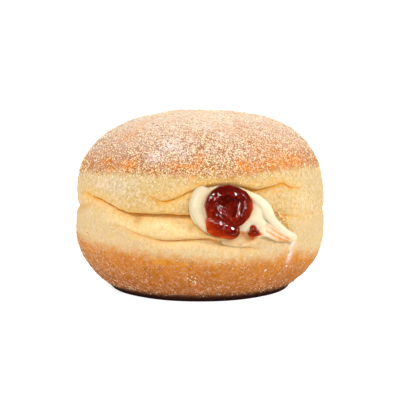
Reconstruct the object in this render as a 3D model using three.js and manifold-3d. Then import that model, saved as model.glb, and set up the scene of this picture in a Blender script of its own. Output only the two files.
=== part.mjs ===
// A filled doughnut: a tall, puffy fried bun whose waist has split open at the front, with a tongue of
// cream pushed out of the split and a dollop of jam on the cream.
//
// Millimetres, +Z up. The bun rests on z = 0 with its axis on Z, and the front faces -Y.
// Directions round the bun are azimuths in degrees: 0 at the front (-Y), positive towards +X.
// The bun is a lathe whose meridian changes with azimuth. The fillings are implicit solids, written in
// coordinates that are wrapped on the bun's skin: along it, up it, and out from it.

import * as THREE from "three";
import { mergeVertices } from "three/addons/utils/BufferGeometryUtils.js";
import Module from "manifold-3d";

const wasm = await Module();
wasm.setup();

// ---------------------------------------------------------------- driving sizes of the bun

const WAIST_RADIUS = 42.8;
const DOME_START = 30.0; // height at which the upper dome begins
const DOME_RISE = 32.8; // from there to the crown
const DOME_POWER = 2.42; // superellipse power: 2 is an ellipse, more is squarer
const UNDER_START = 22.0; // height at which the lower half begins to turn in
const UNDER_DROP = 27.8;
const UNDER_POWER = 2.35;
const FOOT_RADIUS = 27.5; // the flat that the bun rests on
const FOOT_EDGE_HEIGHT = 1.1; // height of the rounding round that flat
const CROWN_LEAN = 1.5; // how far the crown sits towards +X of the waist

const STEADY_HEIGHT = 5; // the folds, swells and dents fade out below this, so that the foot is flat

const COLUMNS = 88;
const COLUMN_CENTRE = 4; // azimuth about which the columns are closest
const COLUMN_SPREAD = 0.42; // 0 spaces the columns evenly, more gathers them at the front
const ROWS = { foot: 2, under: 8, lowerBand: 8, upperBand: 8, dome: 10 };
const FOLD_CROWD = 0.8; // how strongly the rows gather at a fold, from 0 to 1

const CLEARANCE = 0.3; // gap between neighbouring pieces
const SHORTEST_EDGE = 0.1; // edges shorter than this, left by cutting, are closed up
const MERGE_DISTANCE = 1e-4; // corners closer than this are one
const BOX_MARGIN_CELLS = 2.5; // room left round a filling on its grid
const RADIANS = Math.PI / 180;

// ---------------------------------------------------------------- folds of the split waist

// Each fold runs right round the bun. height and depth are [azimuth, mm] knots, above and below are how
// far the fold reaches from its line, and tuck is the angle at which it dives under the dough above it.
const UPPER_FOLD = {
  height: [
    [-150, 36.0], [-80, 37.0], [-24, 36.2], [-17, 34.0], [-12, 34.6], [-4, 37.4], [7, 39.6],
    [15, 39.4], [26, 36.8], [34, 37.6], [42, 38.6], [47, 37.2], [57, 37.0], [100, 36.0],
  ],
  depth: [
    [-60, 0.0], [-28, 0.2], [-18, 1.3], [-4, 2.0], [14, 2.2], [27, 2.4], [38, 2.0], [48, 1.3],
    [62, 0.3], [90, 0.0], [125, 0.8], [150, 0.5], [170, 0.0],
  ],
  above: 3.2,
  below: 5.0,
  tuck: 32,
};

const MAIN_FOLD = {
  height: [
    [-160, 30.0], [-120, 29.6], [-96, 31.4], [-80, 33.8], [-66, 34.4], [-57, 33.4], [-48, 32.3],
    [-43, 31.0], [-38, 29.6], [-32, 28.8], [-15, 29.0], [-4, 28.7], [20, 29.6], [36, 29.2],
    [48, 27.8], [75, 28.2], [110, 27.2], [150, 28.4],
  ],
  depth: [
    [-165, 1.4], [-130, 1.5], [-100, 0.4], [-80, 0.2], [-68, 0.9], [-54, 1.8], [-46, 2.8],
    [-34, 4.1], [-10, 4.4], [10, 3.0], [30, 1.6], [40, 1.1], [60, 0.5], [92, 0.8], [130, 1.8],
    [165, 1.1],
  ],
  above: 3.6,
  below: 6.4,
  tuck: 28,
};

const LOWER_FOLD = {
  height: [
    [-150, 21.0], [-90, 22.0], [-56, 25.4], [-39, 25.7], [-33, 24.1], [-26, 22.7], [-17, 21.4],
    [-8, 21.6], [3, 22.0], [9, 21.0], [16, 20.6], [24, 18.8], [40, 18.6], [80, 20.6], [120, 20.0],
  ],
  depth: [
    [-160, 0.6], [-140, 0.0], [-46, 0.0], [-38, 0.7], [-28, 1.4], [-10, 1.9], [8, 1.9], [19, 1.5],
    [26, 0.7], [34, 0.0], [150, 0.0], [172, 0.5],
  ],
  above: 3.4,
  below: 2.8,
  tuck: 16,
};

// A short fold on the -X side that leaves the main one and runs round to the back.
const SIDE_FOLD = {
  height: [[-140, 26.0], [-110, 28.0], [-90, 28.8], [-72, 29.4], [-62, 30.9], [-53, 33.0], [60, 30.0]],
  depth: [
    [-165, 0.0], [-140, 0.9], [-100, 1.3], [-76, 1.3], [-62, 0.9], [-54, 0.2], [-46, 0.0], [150, 0.0],
  ],
  above: 3.2,
  below: 3.4,
  tuck: 12,
};

// The mesh has a row of corners along each of these three.
const LINED_FOLDS = [UPPER_FOLD, MAIN_FOLD, LOWER_FOLD];
const FOLDS = [...LINED_FOLDS, SIDE_FOLD];

// The split itself: a hollow in the skin that the cream fills, and the lips that it pushes out. along and
// up are places on the skin, from the mouth's azimuth and the foot. rim is the share of the hollow's size
// over which its edge rounds off.
const MOUTH_AZIMUTH = 17.5;
const MOUTH = { along: -3.6, up: 31.0, halfWidth: 12.2, halfHeight: 8.2, depth: 5.4, rim: 0.3 };
const LIPS = [
  { along: -4, up: 43.2, halfWidth: 17, halfHeight: 4.6, out: 1.0 },
  { along: -25, up: 35.2, halfWidth: 15, halfHeight: 4.4, out: 0.9 },
  { along: -24, up: 25.6, halfWidth: 17, halfHeight: 4.0, out: 0.7 },
  { along: 2, up: 16.2, halfWidth: 18, halfHeight: 5.0, out: 0.8 },
  { along: 18, up: 33.4, halfWidth: 7, halfHeight: 5.4, out: 1.1 },
  { along: -76, up: 20.0, halfWidth: 24, halfHeight: 8.0, out: 1.2 },
];

// Small tears in the skin on the right of the cream.
const TEARS = [
  { along: 13.8, up: 29.6, halfWidth: 1.6, halfHeight: 1.5, depth: 1.2 },
  { along: 16.0, up: 27.6, halfWidth: 2.0, halfHeight: 1.2, depth: 0.9 },
  { along: 18.8, up: 26.2, halfWidth: 1.7, halfHeight: 1.2, depth: 0.8 },
  { along: 17.4, up: 29.9, halfWidth: 3.2, halfHeight: 0.9, depth: 0.5 },
];

// Slow unevenness of the bun, as waves along fixed directions: [per mm in x, y, z, phase, height in mm].
const WAVES = [
  [0.071, 0.038, 0.045, 2.2, 0.42],
  [-0.052, 0.094, 0.03, 2.1, 0.34],
  [0.031, -0.047, 0.118, 4.0, 0.28],
  [0.162, 0.071, -0.09, 1.3, 0.15],
  [-0.084, 0.171, 0.11, 5.2, 0.13],
];

// ---------------------------------------------------------------- driving sizes of the fillings

// Blobs are ellipsoids: centre as [along, up, out] from the mouth, and semi-axes in the same order.
// Ropes are rows of [along, up, out, radius] stations. blend is how softly they all run together, and cell
// is the step of the grid that the solid is meshed on. core is the ellipsoid that the filling makes inside
// the bun: the distance of its centre from the bun's axis, its height, and its semi-axes.
const CREAM = {
  blobs: [
    { centre: [-12.7, 33.4, 0.4], size: [4.2, 6.8, 3.0] }, // the bulge on the left of the jam
    { centre: [-5.2, 31.5, -2.0], size: [11.4, 9.2, 4.2] }, // the mass behind the jam
    { centre: [3.8, 30.2, -0.4], size: [6.4, 7.4, 2.6] }, // the fold on the right of the jam
    { centre: [3.4, 22.5, -0.4], size: [8.4, 3.1, 1.9] }, // the lip under the jam
  ],
  ropes: [
    [ // the ridge that runs down to the right and ends in the tail
      [2.4, 36.4, 1.2, 1.8], [5.4, 34.9, 1.5, 2.0], [7.9, 32.4, 1.7, 2.1], [9.0, 29.6, 1.7, 2.1],
      [11.0, 27.1, 1.4, 2.0], [13.8, 25.0, 1.1, 1.9], [17.2, 23.1, 0.9, 1.8], [20.6, 21.7, 0.8, 1.5],
    ],
    [[5.0, 26.6, 0.8, 1.5], [8.8, 24.9, 0.8, 1.4], [12.8, 22.4, 0.6, 1.2], [16.4, 20.8, 0.5, 0.9]],
  ],
  blend: 2.0,
  cell: 1.5,
  core: { reach: 19, up: 30.4, halfLength: 24, halfWidth: 13, halfHeight: 9 },
};

const JAM_SWIRL = {
  centre: [-3.9, 33.8, 3.3],
  from: 200, // angle at which the swirl starts, counter-clockwise from +along
  sweep: -330,
  wide: 6.3, // distance of its ends from the centre
  narrow: 2.5,
  flatten: 0.84,
  thick: 1.75, // radius of its ends
  thin: 1.2,
  stations: 18,
};

const JAM = {
  blobs: [
    { centre: [-3.9, 33.6, 1.2], size: [7.9, 6.7, 3.5] }, // the round dollop
    { centre: [-5.8, 27.6, 1.6], size: [5.8, 4.9, 3.2] }, // the part that has slumped below it
  ],
  ropes: [spiralRope(JAM_SWIRL)],
  blend: 0.9,
  cell: 1.15,
  core: { reach: 27, up: 31.0, halfLength: 16.5, halfWidth: 5.4, halfHeight: 4.6 },
};

// The small drop of jam that lies apart on the cream.
const JAM_DROP = {
  blobs: [
    { centre: [4.3, 25.4, 2.1], size: [1.6, 1.6, 1.2] },
    { centre: [5.2, 24.2, 1.9], size: [1.1, 0.9, 0.9] },
  ],
  ropes: [],
  blend: 0.6,
  cell: 0.6,
  core: null,
};

const CORE_AZIMUTH = 13;
const CORE_SEGMENTS = 16;

// ---------------------------------------------------------------- materials

const DOUGH_MATERIAL = new THREE.MeshStandardMaterial({ color: 0xe0a868, roughness: 0.82, metalness: 0 });
const CREAM_MATERIAL = new THREE.MeshStandardMaterial({ color: 0xf5e4bb, roughness: 0.4, metalness: 0 });
const JAM_MATERIAL = new THREE.MeshStandardMaterial({ color: 0x7a2114, roughness: 0.12, metalness: 0 });

// ---------------------------------------------------------------- small helpers

/** 0 below low, 1 above high, smooth between. */
function smoothStep(low, high, x) {
  const t = Math.min(1, Math.max(0, (x - low) / (high - low)));
  return t * t * (3 - 2 * t);
}

/** Value at an azimuth of a closed curve through [azimuth, value] knots that rise in azimuth. */
function roundCurve(knots, azimuth) {
  const count = knots.length;
  const knot = (i) => {
    const turns = Math.floor(i / count);
    const [x, y] = knots[i - turns * count];
    return [x + 360 * turns, y];
  };
  let x = azimuth;
  while (x < knots[0][0]) x += 360;
  while (x >= knots[0][0] + 360) x -= 360;
  let i = 0;
  while (knot(i + 1)[0] <= x) i += 1;
  const [[x0, y0], [x1, y1], [x2, y2], [x3, y3]] = [knot(i - 1), knot(i), knot(i + 1), knot(i + 2)];
  const step = x2 - x1;
  const t = (x - x1) / step;
  const slope1 = ((y2 - y0) / (x2 - x0)) * step;
  const slope2 = ((y3 - y1) / (x3 - x1)) * step;
  const bend = 2 * y1 - 2 * y2 + slope1 + slope2;
  return y1 + t * (slope1 + t * (y2 - y1 - slope1 - bend + t * bend));
}

/** Joins two signed distances with a rounded valley of about the given width. */
function smoothUnion(a, b, width) {
  const h = Math.max(width - Math.abs(a - b), 0) / width;
  return Math.min(a, b) - (h * h * width) / 4;
}

/** A rope of stations that winds inwards, flatter in height than in width. */
function spiralRope({ centre, from, sweep, wide, narrow, flatten, thick, thin, stations }) {
  const [along, up, out] = centre;
  return Array.from({ length: stations }, (_, i) => {
    const share = i / (stations - 1);
    const angle = (from + sweep * share) * RADIANS;
    const radius = wide + (narrow - wide) * share;
    return [
      along + radius * Math.cos(angle),
      up + radius * flatten * Math.sin(angle),
      out,
      thick + (thin - thick) * share,
    ];
  });
}

// ---------------------------------------------------------------- the bun's skin

/** Radius of the smooth bun at a height. */
function bodyRadius(z) {
  if (z < FOOT_EDGE_HEIGHT) {
    const rim = bodyRadius(FOOT_EDGE_HEIGHT);
    return FOOT_RADIUS + (rim - FOOT_RADIUS) * Math.sqrt(Math.max(z, 0) / FOOT_EDGE_HEIGHT);
  }
  if (z < UNDER_START) {
    const down = (UNDER_START - z) / UNDER_DROP;
    return WAIST_RADIUS * (1 - down ** UNDER_POWER) ** (1 / UNDER_POWER);
  }
  const up = Math.min(1, Math.max(0, (z - DOME_START) / DOME_RISE));
  return WAIST_RADIUS * (1 - up ** DOME_POWER) ** (1 / DOME_POWER);
}

/** How far the bun's axis has moved towards +X at a height. */
function lean(z) {
  return CROWN_LEAN * Math.max(0, (z - DOME_START) / DOME_RISE) ** 2;
}

/** Distance along the skin from the mouth, for an azimuth. */
function alongFromMouth(azimuth) {
  return (azimuth - MOUTH_AZIMUTH) * RADIANS * WAIST_RADIUS;
}

/** How far the folds, the mouth, the lips and the tears move a point of the smooth skin inward and up. */
function skinShift(azimuth, z) {
  let inward = 0;
  let upward = 0;
  for (const fold of FOLDS) {
    const offset = z - roundCurve(fold.height, azimuth);
    const reach = offset > 0 ? fold.above : fold.below;
    const share = 1 - Math.min(1, Math.abs(offset) / reach);
    const depth = Math.max(0, roundCurve(fold.depth, azimuth)) * share ** 3;
    inward += depth * Math.cos(fold.tuck * RADIANS);
    upward += depth * Math.sin(fold.tuck * RADIANS);
  }
  const along = alongFromMouth(azimuth);
  const mouth = Math.hypot((along - MOUTH.along) / MOUTH.halfWidth, (z - MOUTH.up) / MOUTH.halfHeight);
  inward += MOUTH.depth * (1 - smoothStep(1 - MOUTH.rim, 1 + MOUTH.rim / 2, mouth));
  const mound = ({ along: middle, up, halfWidth, halfHeight }) =>
    Math.exp(-(((along - middle) / halfWidth) ** 2) - ((z - up) / halfHeight) ** 2);
  for (const lip of LIPS) inward -= lip.out * mound(lip);
  for (const tear of TEARS) inward += tear.depth * mound(tear);
  return { inward, upward };
}

/** Slow bumps and dents of the skin, in mm outwards. */
function unevenness({ x, y, z }) {
  const height = ([kx, ky, kz, phase, size]) => size * Math.sin(kx * x + ky * y + kz * z + phase);
  return WAVES.reduce((sum, wave) => sum + height(wave), 0);
}

/** The point of the finished skin over a point of the smooth meridian. */
function skinPoint(azimuth, radius, z) {
  const angle = azimuth * RADIANS;
  const smooth = new THREE.Vector3(radius * Math.sin(angle), -radius * Math.cos(angle), z);
  const { inward, upward } = skinShift(azimuth, z);
  const free = smoothStep(0, STEADY_HEIGHT, z);
  const swell = unevenness(smooth) * free;
  const levelness = Math.min(1, Math.max(0, (z - DOME_START) / DOME_RISE)) ** 2; // 1 at the crown
  const outward = swell * (1 - levelness) - inward * free;
  const stretch = radius > 0 ? (radius + outward) / radius : 1;
  return new THREE.Vector3(
    smooth.x * stretch + lean(z),
    smooth.y * stretch,
    z + upward * free + swell * levelness,
  );
}

// ---------------------------------------------------------------- meshes

/** Spacing of one band's rows from 0 to 1, closer at an end whose crowd value is higher. */
function crowded(share, crowdStart, crowdEnd) {
  const start = crowdStart * Math.sin(Math.PI * share) * (1 - share);
  const end = crowdEnd * Math.sin(Math.PI * share) * share;
  return share - start / Math.PI + end / Math.PI;
}

/** Azimuth of a column: the columns are closest about COLUMN_CENTRE. */
function columnAzimuth(column) {
  const x = (2 * column) / COLUMNS - 1;
  return COLUMN_CENTRE + 180 * ((1 - COLUMN_SPREAD) * x + COLUMN_SPREAD * x ** 3);
}

/** One meridian from the edge of the foot up, without the crown: [radius, height] of each row. */
function meridian(azimuth) {
  const [upper, main, lower] = LINED_FOLDS.map((fold) => roundCurve(fold.height, azimuth));
  const rows = [];
  const band = (from, to, count, crowdStart, crowdEnd) => {
    for (let i = 0; i < count; i += 1) {
      const z = from + (to - from) * crowded(i / count, crowdStart, crowdEnd);
      rows.push([bodyRadius(z), z]);
    }
  };
  for (let i = 0; i < ROWS.foot; i += 1) {
    const z = FOOT_EDGE_HEIGHT * (i / ROWS.foot) ** 2;
    rows.push([bodyRadius(z), z]);
  }
  band(FOOT_EDGE_HEIGHT, lower, ROWS.under, 0, FOLD_CROWD);
  band(lower, main, ROWS.lowerBand, FOLD_CROWD, FOLD_CROWD);
  band(main, upper, ROWS.upperBand, FOLD_CROWD, FOLD_CROWD);
  // Over the dome the rows are even in angle, not in height.
  const turnStart = Math.asin(((upper - DOME_START) / DOME_RISE) ** (DOME_POWER / 2));
  for (let i = 0; i < ROWS.dome; i += 1) {
    const turn = turnStart + (Math.PI / 2 - turnStart) * crowded(i / ROWS.dome, FOLD_CROWD, 0);
    const z = DOME_START + DOME_RISE * Math.sin(turn) ** (2 / DOME_POWER);
    rows.push([WAIST_RADIUS * Math.cos(turn) ** (2 / DOME_POWER), z]);
  }
  return rows;
}

/** The bun's closed skin, from the middle of the foot to the crown. */
function bunGeometry() {
  const positions = [0, 0, 0];
  const index = [];
  const columns = Array.from({ length: COLUMNS }, (_, column) => columnAzimuth(column));
  const meridians = columns.map(meridian);
  const rowCount = meridians[0].length;
  const at = (row, column) => 1 + row * COLUMNS + (column % COLUMNS);
  for (let row = 0; row < rowCount; row += 1) {
    columns.forEach((azimuth, column) => {
      positions.push(...skinPoint(azimuth, ...meridians[column][row]).toArray());
    });
  }
  positions.push(...skinPoint(0, 0, DOME_START + DOME_RISE).toArray());
  const crown = 1 + rowCount * COLUMNS;
  for (let column = 0; column < COLUMNS; column += 1) {
    index.push(0, at(0, column + 1), at(0, column));
    for (let row = 0; row < rowCount - 1; row += 1) {
      const [a, b] = [at(row, column), at(row, column + 1)];
      const [c, d] = [at(row + 1, column + 1), at(row + 1, column)];
      index.push(a, b, c, a, c, d);
    }
    index.push(at(rowCount - 1, column), at(rowCount - 1, column + 1), crown);
  }
  return indexed(positions, index);
}

/** A geometry from flat lists of coordinates and corners. */
function indexed(positions, index) {
  const geometry = new THREE.BufferGeometry();
  geometry.setAttribute("position", new THREE.Float32BufferAttribute(positions, 3));
  geometry.setIndex(index);
  return geometry;
}

/** Distance-like value of an implicit filling at [along, up, out]: negative inside. */
function fillingField({ blobs, ropes, blend }, along, up, out) {
  let value = Infinity;
  const join = (next) => {
    value = value === Infinity ? next : smoothUnion(value, next, blend);
  };
  for (const { centre, size } of blobs) {
    const [x, y, z] = [along - centre[0], up - centre[1], out - centre[2]];
    const near = Math.hypot(x / size[0], y / size[1], z / size[2]);
    const steep = Math.hypot(x / size[0] ** 2, y / size[1] ** 2, z / size[2] ** 2);
    join(steep > 0 ? (near * (near - 1)) / steep : -Math.min(...size));
  }
  for (const rope of ropes) {
    for (let i = 0; i + 1 < rope.length; i += 1) {
      join(segmentDistance(rope[i], rope[i + 1], along, up, out));
    }
  }
  return value;
}

/** Distance from a point to a rope's segment, whose radius changes evenly along it. */
function segmentDistance([ax, ay, az, ar], [bx, by, bz, br], x, y, z) {
  const [dx, dy, dz] = [bx - ax, by - ay, bz - az];
  const along = ((x - ax) * dx + (y - ay) * dy + (z - az) * dz) / (dx * dx + dy * dy + dz * dz);
  const t = Math.min(1, Math.max(0, along));
  return Math.hypot(x - ax - t * dx, y - ay - t * dy, z - az - t * dz) - (ar + t * (br - ar));
}

/** The box that holds a filling, with room to spare: lowest and highest [along, up, out]. */
function fillingBox({ blobs, ropes }, spare) {
  const low = [Infinity, Infinity, Infinity];
  const high = [-Infinity, -Infinity, -Infinity];
  const hold = (centre, size) => {
    for (let axis = 0; axis < 3; axis += 1) {
      low[axis] = Math.min(low[axis], centre[axis] - size[axis] - spare);
      high[axis] = Math.max(high[axis], centre[axis] + size[axis] + spare);
    }
  };
  blobs.forEach(({ centre, size }) => hold(centre, size));
  ropes.flat().forEach(([along, up, out, radius]) => hold([along, up, out], [radius, radius, radius]));
  return { low, high };
}

/** A point given along, up and out from the mouth, as a point of the part. */
function wrapped(along, up, out) {
  const angle = MOUTH_AZIMUTH * RADIANS + along / WAIST_RADIUS;
  const radius = bodyRadius(up) + out;
  return [radius * Math.sin(angle) + lean(up), -radius * Math.cos(angle), up];
}

/** Every [i, j, k] below the given counts, the last fastest. */
function* gridSteps([countI, countJ, countK]) {
  for (let i = 0; i < countI; i += 1) {
    for (let j = 0; j < countJ; j += 1) {
      for (let k = 0; k < countK; k += 1) yield [i, j, k];
    }
  }
}

/** The closed surface on which a filling's field equals grow, by surface nets on a grid. */
function fillingGeometry(filling, grow) {
  const { low, high } = fillingBox(filling, grow + BOX_MARGIN_CELLS * filling.cell);
  const counts = low.map((from, axis) => Math.ceil((high[axis] - from) / filling.cell) + 1);
  const cellCounts = counts.map((count) => count - 1);
  const keyOf = ([i, j, k]) => (i * counts[1] + j) * counts[2] + k;
  const placeOf = (step) => step.map((count, axis) => low[axis] + count * filling.cell);
  const values = new Float64Array(counts[0] * counts[1] * counts[2]);
  for (const step of gridSteps(counts)) {
    values[keyOf(step)] = fillingField(filling, ...placeOf(step)) - grow;
  }
  const positions = [];
  const vertexOf = new Map();
  for (const step of gridSteps(cellCounts)) {
    const middle = crossingMiddle(values, keyOf, step);
    if (middle) {
      vertexOf.set(keyOf(step), positions.length / 3);
      positions.push(...wrapped(...placeOf(middle)));
    }
  }
  const index = [];
  for (const step of gridSteps(cellCounts)) {
    const inside = values[keyOf(step)] < 0;
    for (const axis of [0, 1, 2]) {
      const next = moved(step, axis, 1);
      if (inside === (values[keyOf(next)] < 0)) continue;
      // The four cells round this grid edge, counter-clockwise as seen from the edge's far end.
      const ring = [[1, 1], [0, 1], [0, 0], [1, 0]].map(([backFirst, backSecond]) => {
        const cell = moved(moved(step, (axis + 1) % 3, -backFirst), (axis + 2) % 3, -backSecond);
        return vertexOf.get(keyOf(cell));
      });
      const [a, b, c, d] = inside ? ring : ring.reverse();
      index.push(a, b, c, a, c, d);
    }
  }
  return indexed(positions, index);
}

/** A grid step with one of its three counts changed. */
function moved(step, axis, change) {
  return step.map((count, each) => (each === axis ? count + change : count));
}

/** Mean of the places where a grid cell's edges cross zero, in grid steps, or null if none does. */
function crossingMiddle(values, keyOf, step) {
  const sum = [0, 0, 0];
  let crossings = 0;
  for (const axis of [0, 1, 2]) {
    for (const [first, second] of [[0, 0], [1, 0], [0, 1], [1, 1]]) {
      const start = moved(moved(step, (axis + 1) % 3, first), (axis + 2) % 3, second);
      const [a, b] = [values[keyOf(start)], values[keyOf(moved(start, axis, 1))]];
      if (a < 0 !== b < 0) {
        moved(start, axis, a / (a - b)).forEach((place, each) => (sum[each] += place));
        crossings += 1;
      }
    }
  }
  return crossings ? sum.map((total) => total / crossings) : null;
}

/** The ellipsoid that a filling makes inside the bun. */
function coreGeometry({ reach, up, halfLength, halfWidth, halfHeight }, grow) {
  const geometry = new THREE.SphereGeometry(1, CORE_SEGMENTS, CORE_SEGMENTS / 2);
  geometry.scale(halfWidth + grow, halfLength + grow, halfHeight + grow);
  geometry.translate(0, -reach, up);
  return geometry.rotateZ(CORE_AZIMUTH * RADIANS);
}

// ---------------------------------------------------------------- solids

/** A manifold solid from a closed geometry. */
function solidOf(geometry) {
  const bare = geometry.clone();
  bare.deleteAttribute("normal");
  bare.deleteAttribute("uv");
  const merged = mergeVertices(bare, MERGE_DISTANCE);
  return new wasm.Manifold(
    new wasm.Mesh({
      numProp: 3,
      vertProperties: merged.attributes.position.array,
      triVerts: new Uint32Array(merged.index.array),
    }),
  );
}

/** A solid's geometry, with the ends of its shortest edges merged and the flattened triangles gone. */
function tidiedGeometry(solid) {
  const { vertProperties, triVerts } = solid.getMesh();
  const corners = Array.from({ length: vertProperties.length / 3 }, (_, i) =>
    new THREE.Vector3().fromArray(vertProperties, 3 * i),
  );
  const merged = corners.map((_, i) => i);
  const survivor = (i) => (merged[i] === i ? i : survivor(merged[i]));
  const triangles = Array.from({ length: triVerts.length / 3 }, (_, i) =>
    Array.from(triVerts.slice(3 * i, 3 * i + 3)),
  );
  for (const [a, b, c] of triangles) {
    for (const [from, to] of [[a, b], [b, c], [c, a]]) {
      if (corners[from].distanceTo(corners[to]) < SHORTEST_EDGE) merged[survivor(from)] = survivor(to);
    }
  }
  const kept = triangles.map((triangle) => triangle.map(survivor)).filter((t) => new Set(t).size === 3);
  return indexed(corners.flatMap((corner) => corner.toArray()), kept.flat());
}

/** A named mesh from a solid. */
function meshOf(name, solid, material) {
  const geometry = tidiedGeometry(solid);
  geometry.computeVertexNormals();
  const mesh = new THREE.Mesh(geometry, material);
  mesh.name = name;
  return mesh;
}

/** A filling, outside the bun and inside it, grown all over by a clearance. */
function fillingSolid(filling, grow = 0) {
  const shown = solidOf(fillingGeometry(filling, grow));
  return filling.core ? shown.add(solidOf(coreGeometry(filling.core, grow))) : shown;
}

const jam = fillingSolid(JAM);
const jamDrop = fillingSolid(JAM_DROP);
const jamRoom = fillingSolid(JAM, CLEARANCE).add(fillingSolid(JAM_DROP, CLEARANCE));
const cream = fillingSolid(CREAM).subtract(jamRoom);
const dough = solidOf(bunGeometry()).subtract(fillingSolid(CREAM, CLEARANCE)).subtract(jamRoom);

const doughnut = new THREE.Group();
doughnut.add(
  meshOf("dough", dough, DOUGH_MATERIAL),
  meshOf("cream", cream, CREAM_MATERIAL),
  meshOf("jam", jam, JAM_MATERIAL),
  meshOf("jam_drop", jamDrop, JAM_MATERIAL),
);

export default doughnut;
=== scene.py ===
"""Looks of a filled doughnut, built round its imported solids.

The bun, the cream and the jam are made again here with a finer surface, in the places that the frame gives
them, and get their finishes, their sugar and their crumbs. Sizes are in millimetres and angles in degrees,
until a surface is turned into a mesh in metres. Directions round the bun are azimuths: 0 at the front (-Y),
positive towards +X. Places near the split are given along the skin from the mouth, up, and out from the skin.
"""

import logging
import math
from dataclasses import dataclass, field
from enum import Enum
from typing import Any

import bpy
import numpy as np
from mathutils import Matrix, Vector

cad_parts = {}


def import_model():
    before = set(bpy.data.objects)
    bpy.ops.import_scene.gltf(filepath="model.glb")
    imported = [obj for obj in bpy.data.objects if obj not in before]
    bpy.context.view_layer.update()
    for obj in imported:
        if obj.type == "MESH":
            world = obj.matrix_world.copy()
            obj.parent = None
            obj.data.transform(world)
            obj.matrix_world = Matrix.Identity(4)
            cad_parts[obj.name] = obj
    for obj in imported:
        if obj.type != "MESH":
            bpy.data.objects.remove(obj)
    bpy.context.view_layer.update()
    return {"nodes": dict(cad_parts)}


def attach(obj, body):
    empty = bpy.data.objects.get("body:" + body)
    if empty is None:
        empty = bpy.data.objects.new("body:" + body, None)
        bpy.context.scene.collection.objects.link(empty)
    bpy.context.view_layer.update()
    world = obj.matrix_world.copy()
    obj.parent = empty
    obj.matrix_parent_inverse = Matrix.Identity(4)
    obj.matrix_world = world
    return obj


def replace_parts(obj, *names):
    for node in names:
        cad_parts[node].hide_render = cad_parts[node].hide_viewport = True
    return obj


MM = 0.001
BODY = "root"
LOG = logging.getLogger("doughnut")

TINY = 1e-9  # keeps a division from dividing by nothing
LEAST_RADIUS = 1e-6  # mm, likewise at the crown
LEAST_SLOPE = 0.2  # the least squared slope that a point's move to a surface is divided by
RELIEF_SCALE = 1.6  # brings gradient noise to about -1 to 1

Span = tuple[float, float]
Knots = tuple[tuple[float, float], ...]
Place = tuple[float, float, float]
Stops = tuple[tuple[float, str], ...]
Link = bpy.types.Node | bpy.types.NodeSocket


# ---------------------------------------------------------------- small helpers


def linear(colour: str) -> tuple[float, float, float, float]:
    """Turns an sRGB colour into the linear values that shaders use.

    Args:
        colour: The colour as "#rrggbb".

    Returns:
        Linear red, green and blue, and an alpha of 1.
    """
    shares = [int(colour[i : i + 2], 16) / 255 for i in (1, 3, 5)]
    red, green, blue = (s / 12.92 if s <= 0.04045 else ((s + 0.055) / 1.055) ** 2.4 for s in shares)
    return red, green, blue, 1.0


def open_socket(sockets: bpy.types.bpy_prop_collection, name: str | None = None) -> bpy.types.NodeSocket:
    """Finds the first socket, of a name where one is given, that the node's settings leave open."""
    return next(socket for socket in sockets if socket.enabled and name in (None, socket.name))


def add_node(
    tree: bpy.types.NodeTree,
    kind: str,
    inputs: dict[str | int, Any] | None = None,
    stops: Stops = (),
    **settings: Any,
) -> bpy.types.Node:
    """Adds a node, sets it up and links it.

    Args:
        tree: The node tree that gets the node.
        kind: The node's type, such as "ShaderNodeTexNoise".
        inputs: For an input, by name or number, what it gets: a value, a socket, or a node, whose first open
            output is then used.
        stops: Places and colours of a colour ramp.
        **settings: The node's own properties.

    Returns:
        The new node.
    """
    node = tree.nodes.new(kind)
    for name, value in settings.items():
        setattr(node, name, value)
    for name, value in (inputs or {}).items():
        socket = node.inputs[name] if isinstance(name, int) else open_socket(node.inputs, name)
        if isinstance(value, bpy.types.Node):
            value = open_socket(value.outputs)
        if isinstance(value, bpy.types.NodeSocket):
            tree.links.new(value, socket)
        else:
            socket.default_value = value
    for count, (place, colour) in enumerate(stops):
        elements = node.color_ramp.elements
        element = elements[count] if count < len(elements) else elements.new(place)
        element.position = place
        element.color = linear(colour)
    return node


def new_material(name: str) -> tuple[bpy.types.Material, bpy.types.NodeTree]:
    """Makes an empty node material.

    Args:
        name: The material's name.

    Returns:
        The material and its node tree.
    """
    material = bpy.data.materials.new(name)
    material.use_nodes = True
    material.node_tree.nodes.clear()
    return material, material.node_tree


def smooth_step(low: float, high: float, x: np.ndarray) -> np.ndarray:
    """Gives 0 below low, 1 above high, and a smooth rise between."""
    t = np.clip((x - low) / (high - low), 0, 1)
    return t * t * (3 - 2 * t)


def bell(x: np.ndarray, middle: float, width: float, power: float = 2) -> np.ndarray:
    """Gives 1 at the middle, falling off to nothing on both sides, more squarely with a higher power."""
    return np.exp(-(((x - middle) / width) ** power))


def round_curve(knots: Knots, azimuth: np.ndarray) -> np.ndarray:
    """Reads a closed smooth curve, which bends like a spring ruler through its knots.

    Args:
        knots: (azimuth, value) pairs, rising in azimuth.
        azimuth: Azimuths at which to read the curve.

    Returns:
        The curve's values.
    """
    places, values = np.array(knots).T
    places = np.concatenate([places[-2:] - 360, places, places[:3] + 360])
    values = np.concatenate([values[-2:], values, values[:3]])
    turned = (azimuth - places[2]) % 360 + places[2]
    i = np.searchsorted(places, turned, side="right") - 1
    step = places[i + 1] - places[i]
    t = (turned - places[i]) / step
    slope_in = (values[i + 1] - values[i - 1]) / (places[i + 1] - places[i - 1]) * step
    slope_out = (values[i + 2] - values[i]) / (places[i + 2] - places[i]) * step
    bend = 2 * values[i] - 2 * values[i + 1] + slope_in + slope_out
    return values[i] + t * (slope_in + t * (values[i + 1] - values[i] - slope_in - bend + t * bend))


def smooth_union(a: np.ndarray, b: np.ndarray, width: float) -> np.ndarray:
    """Joins two distances with a rounded valley of about the given width."""
    near = np.maximum(width - np.abs(a - b), 0) / width
    return np.minimum(a, b) - near * near * width / 4


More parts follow.
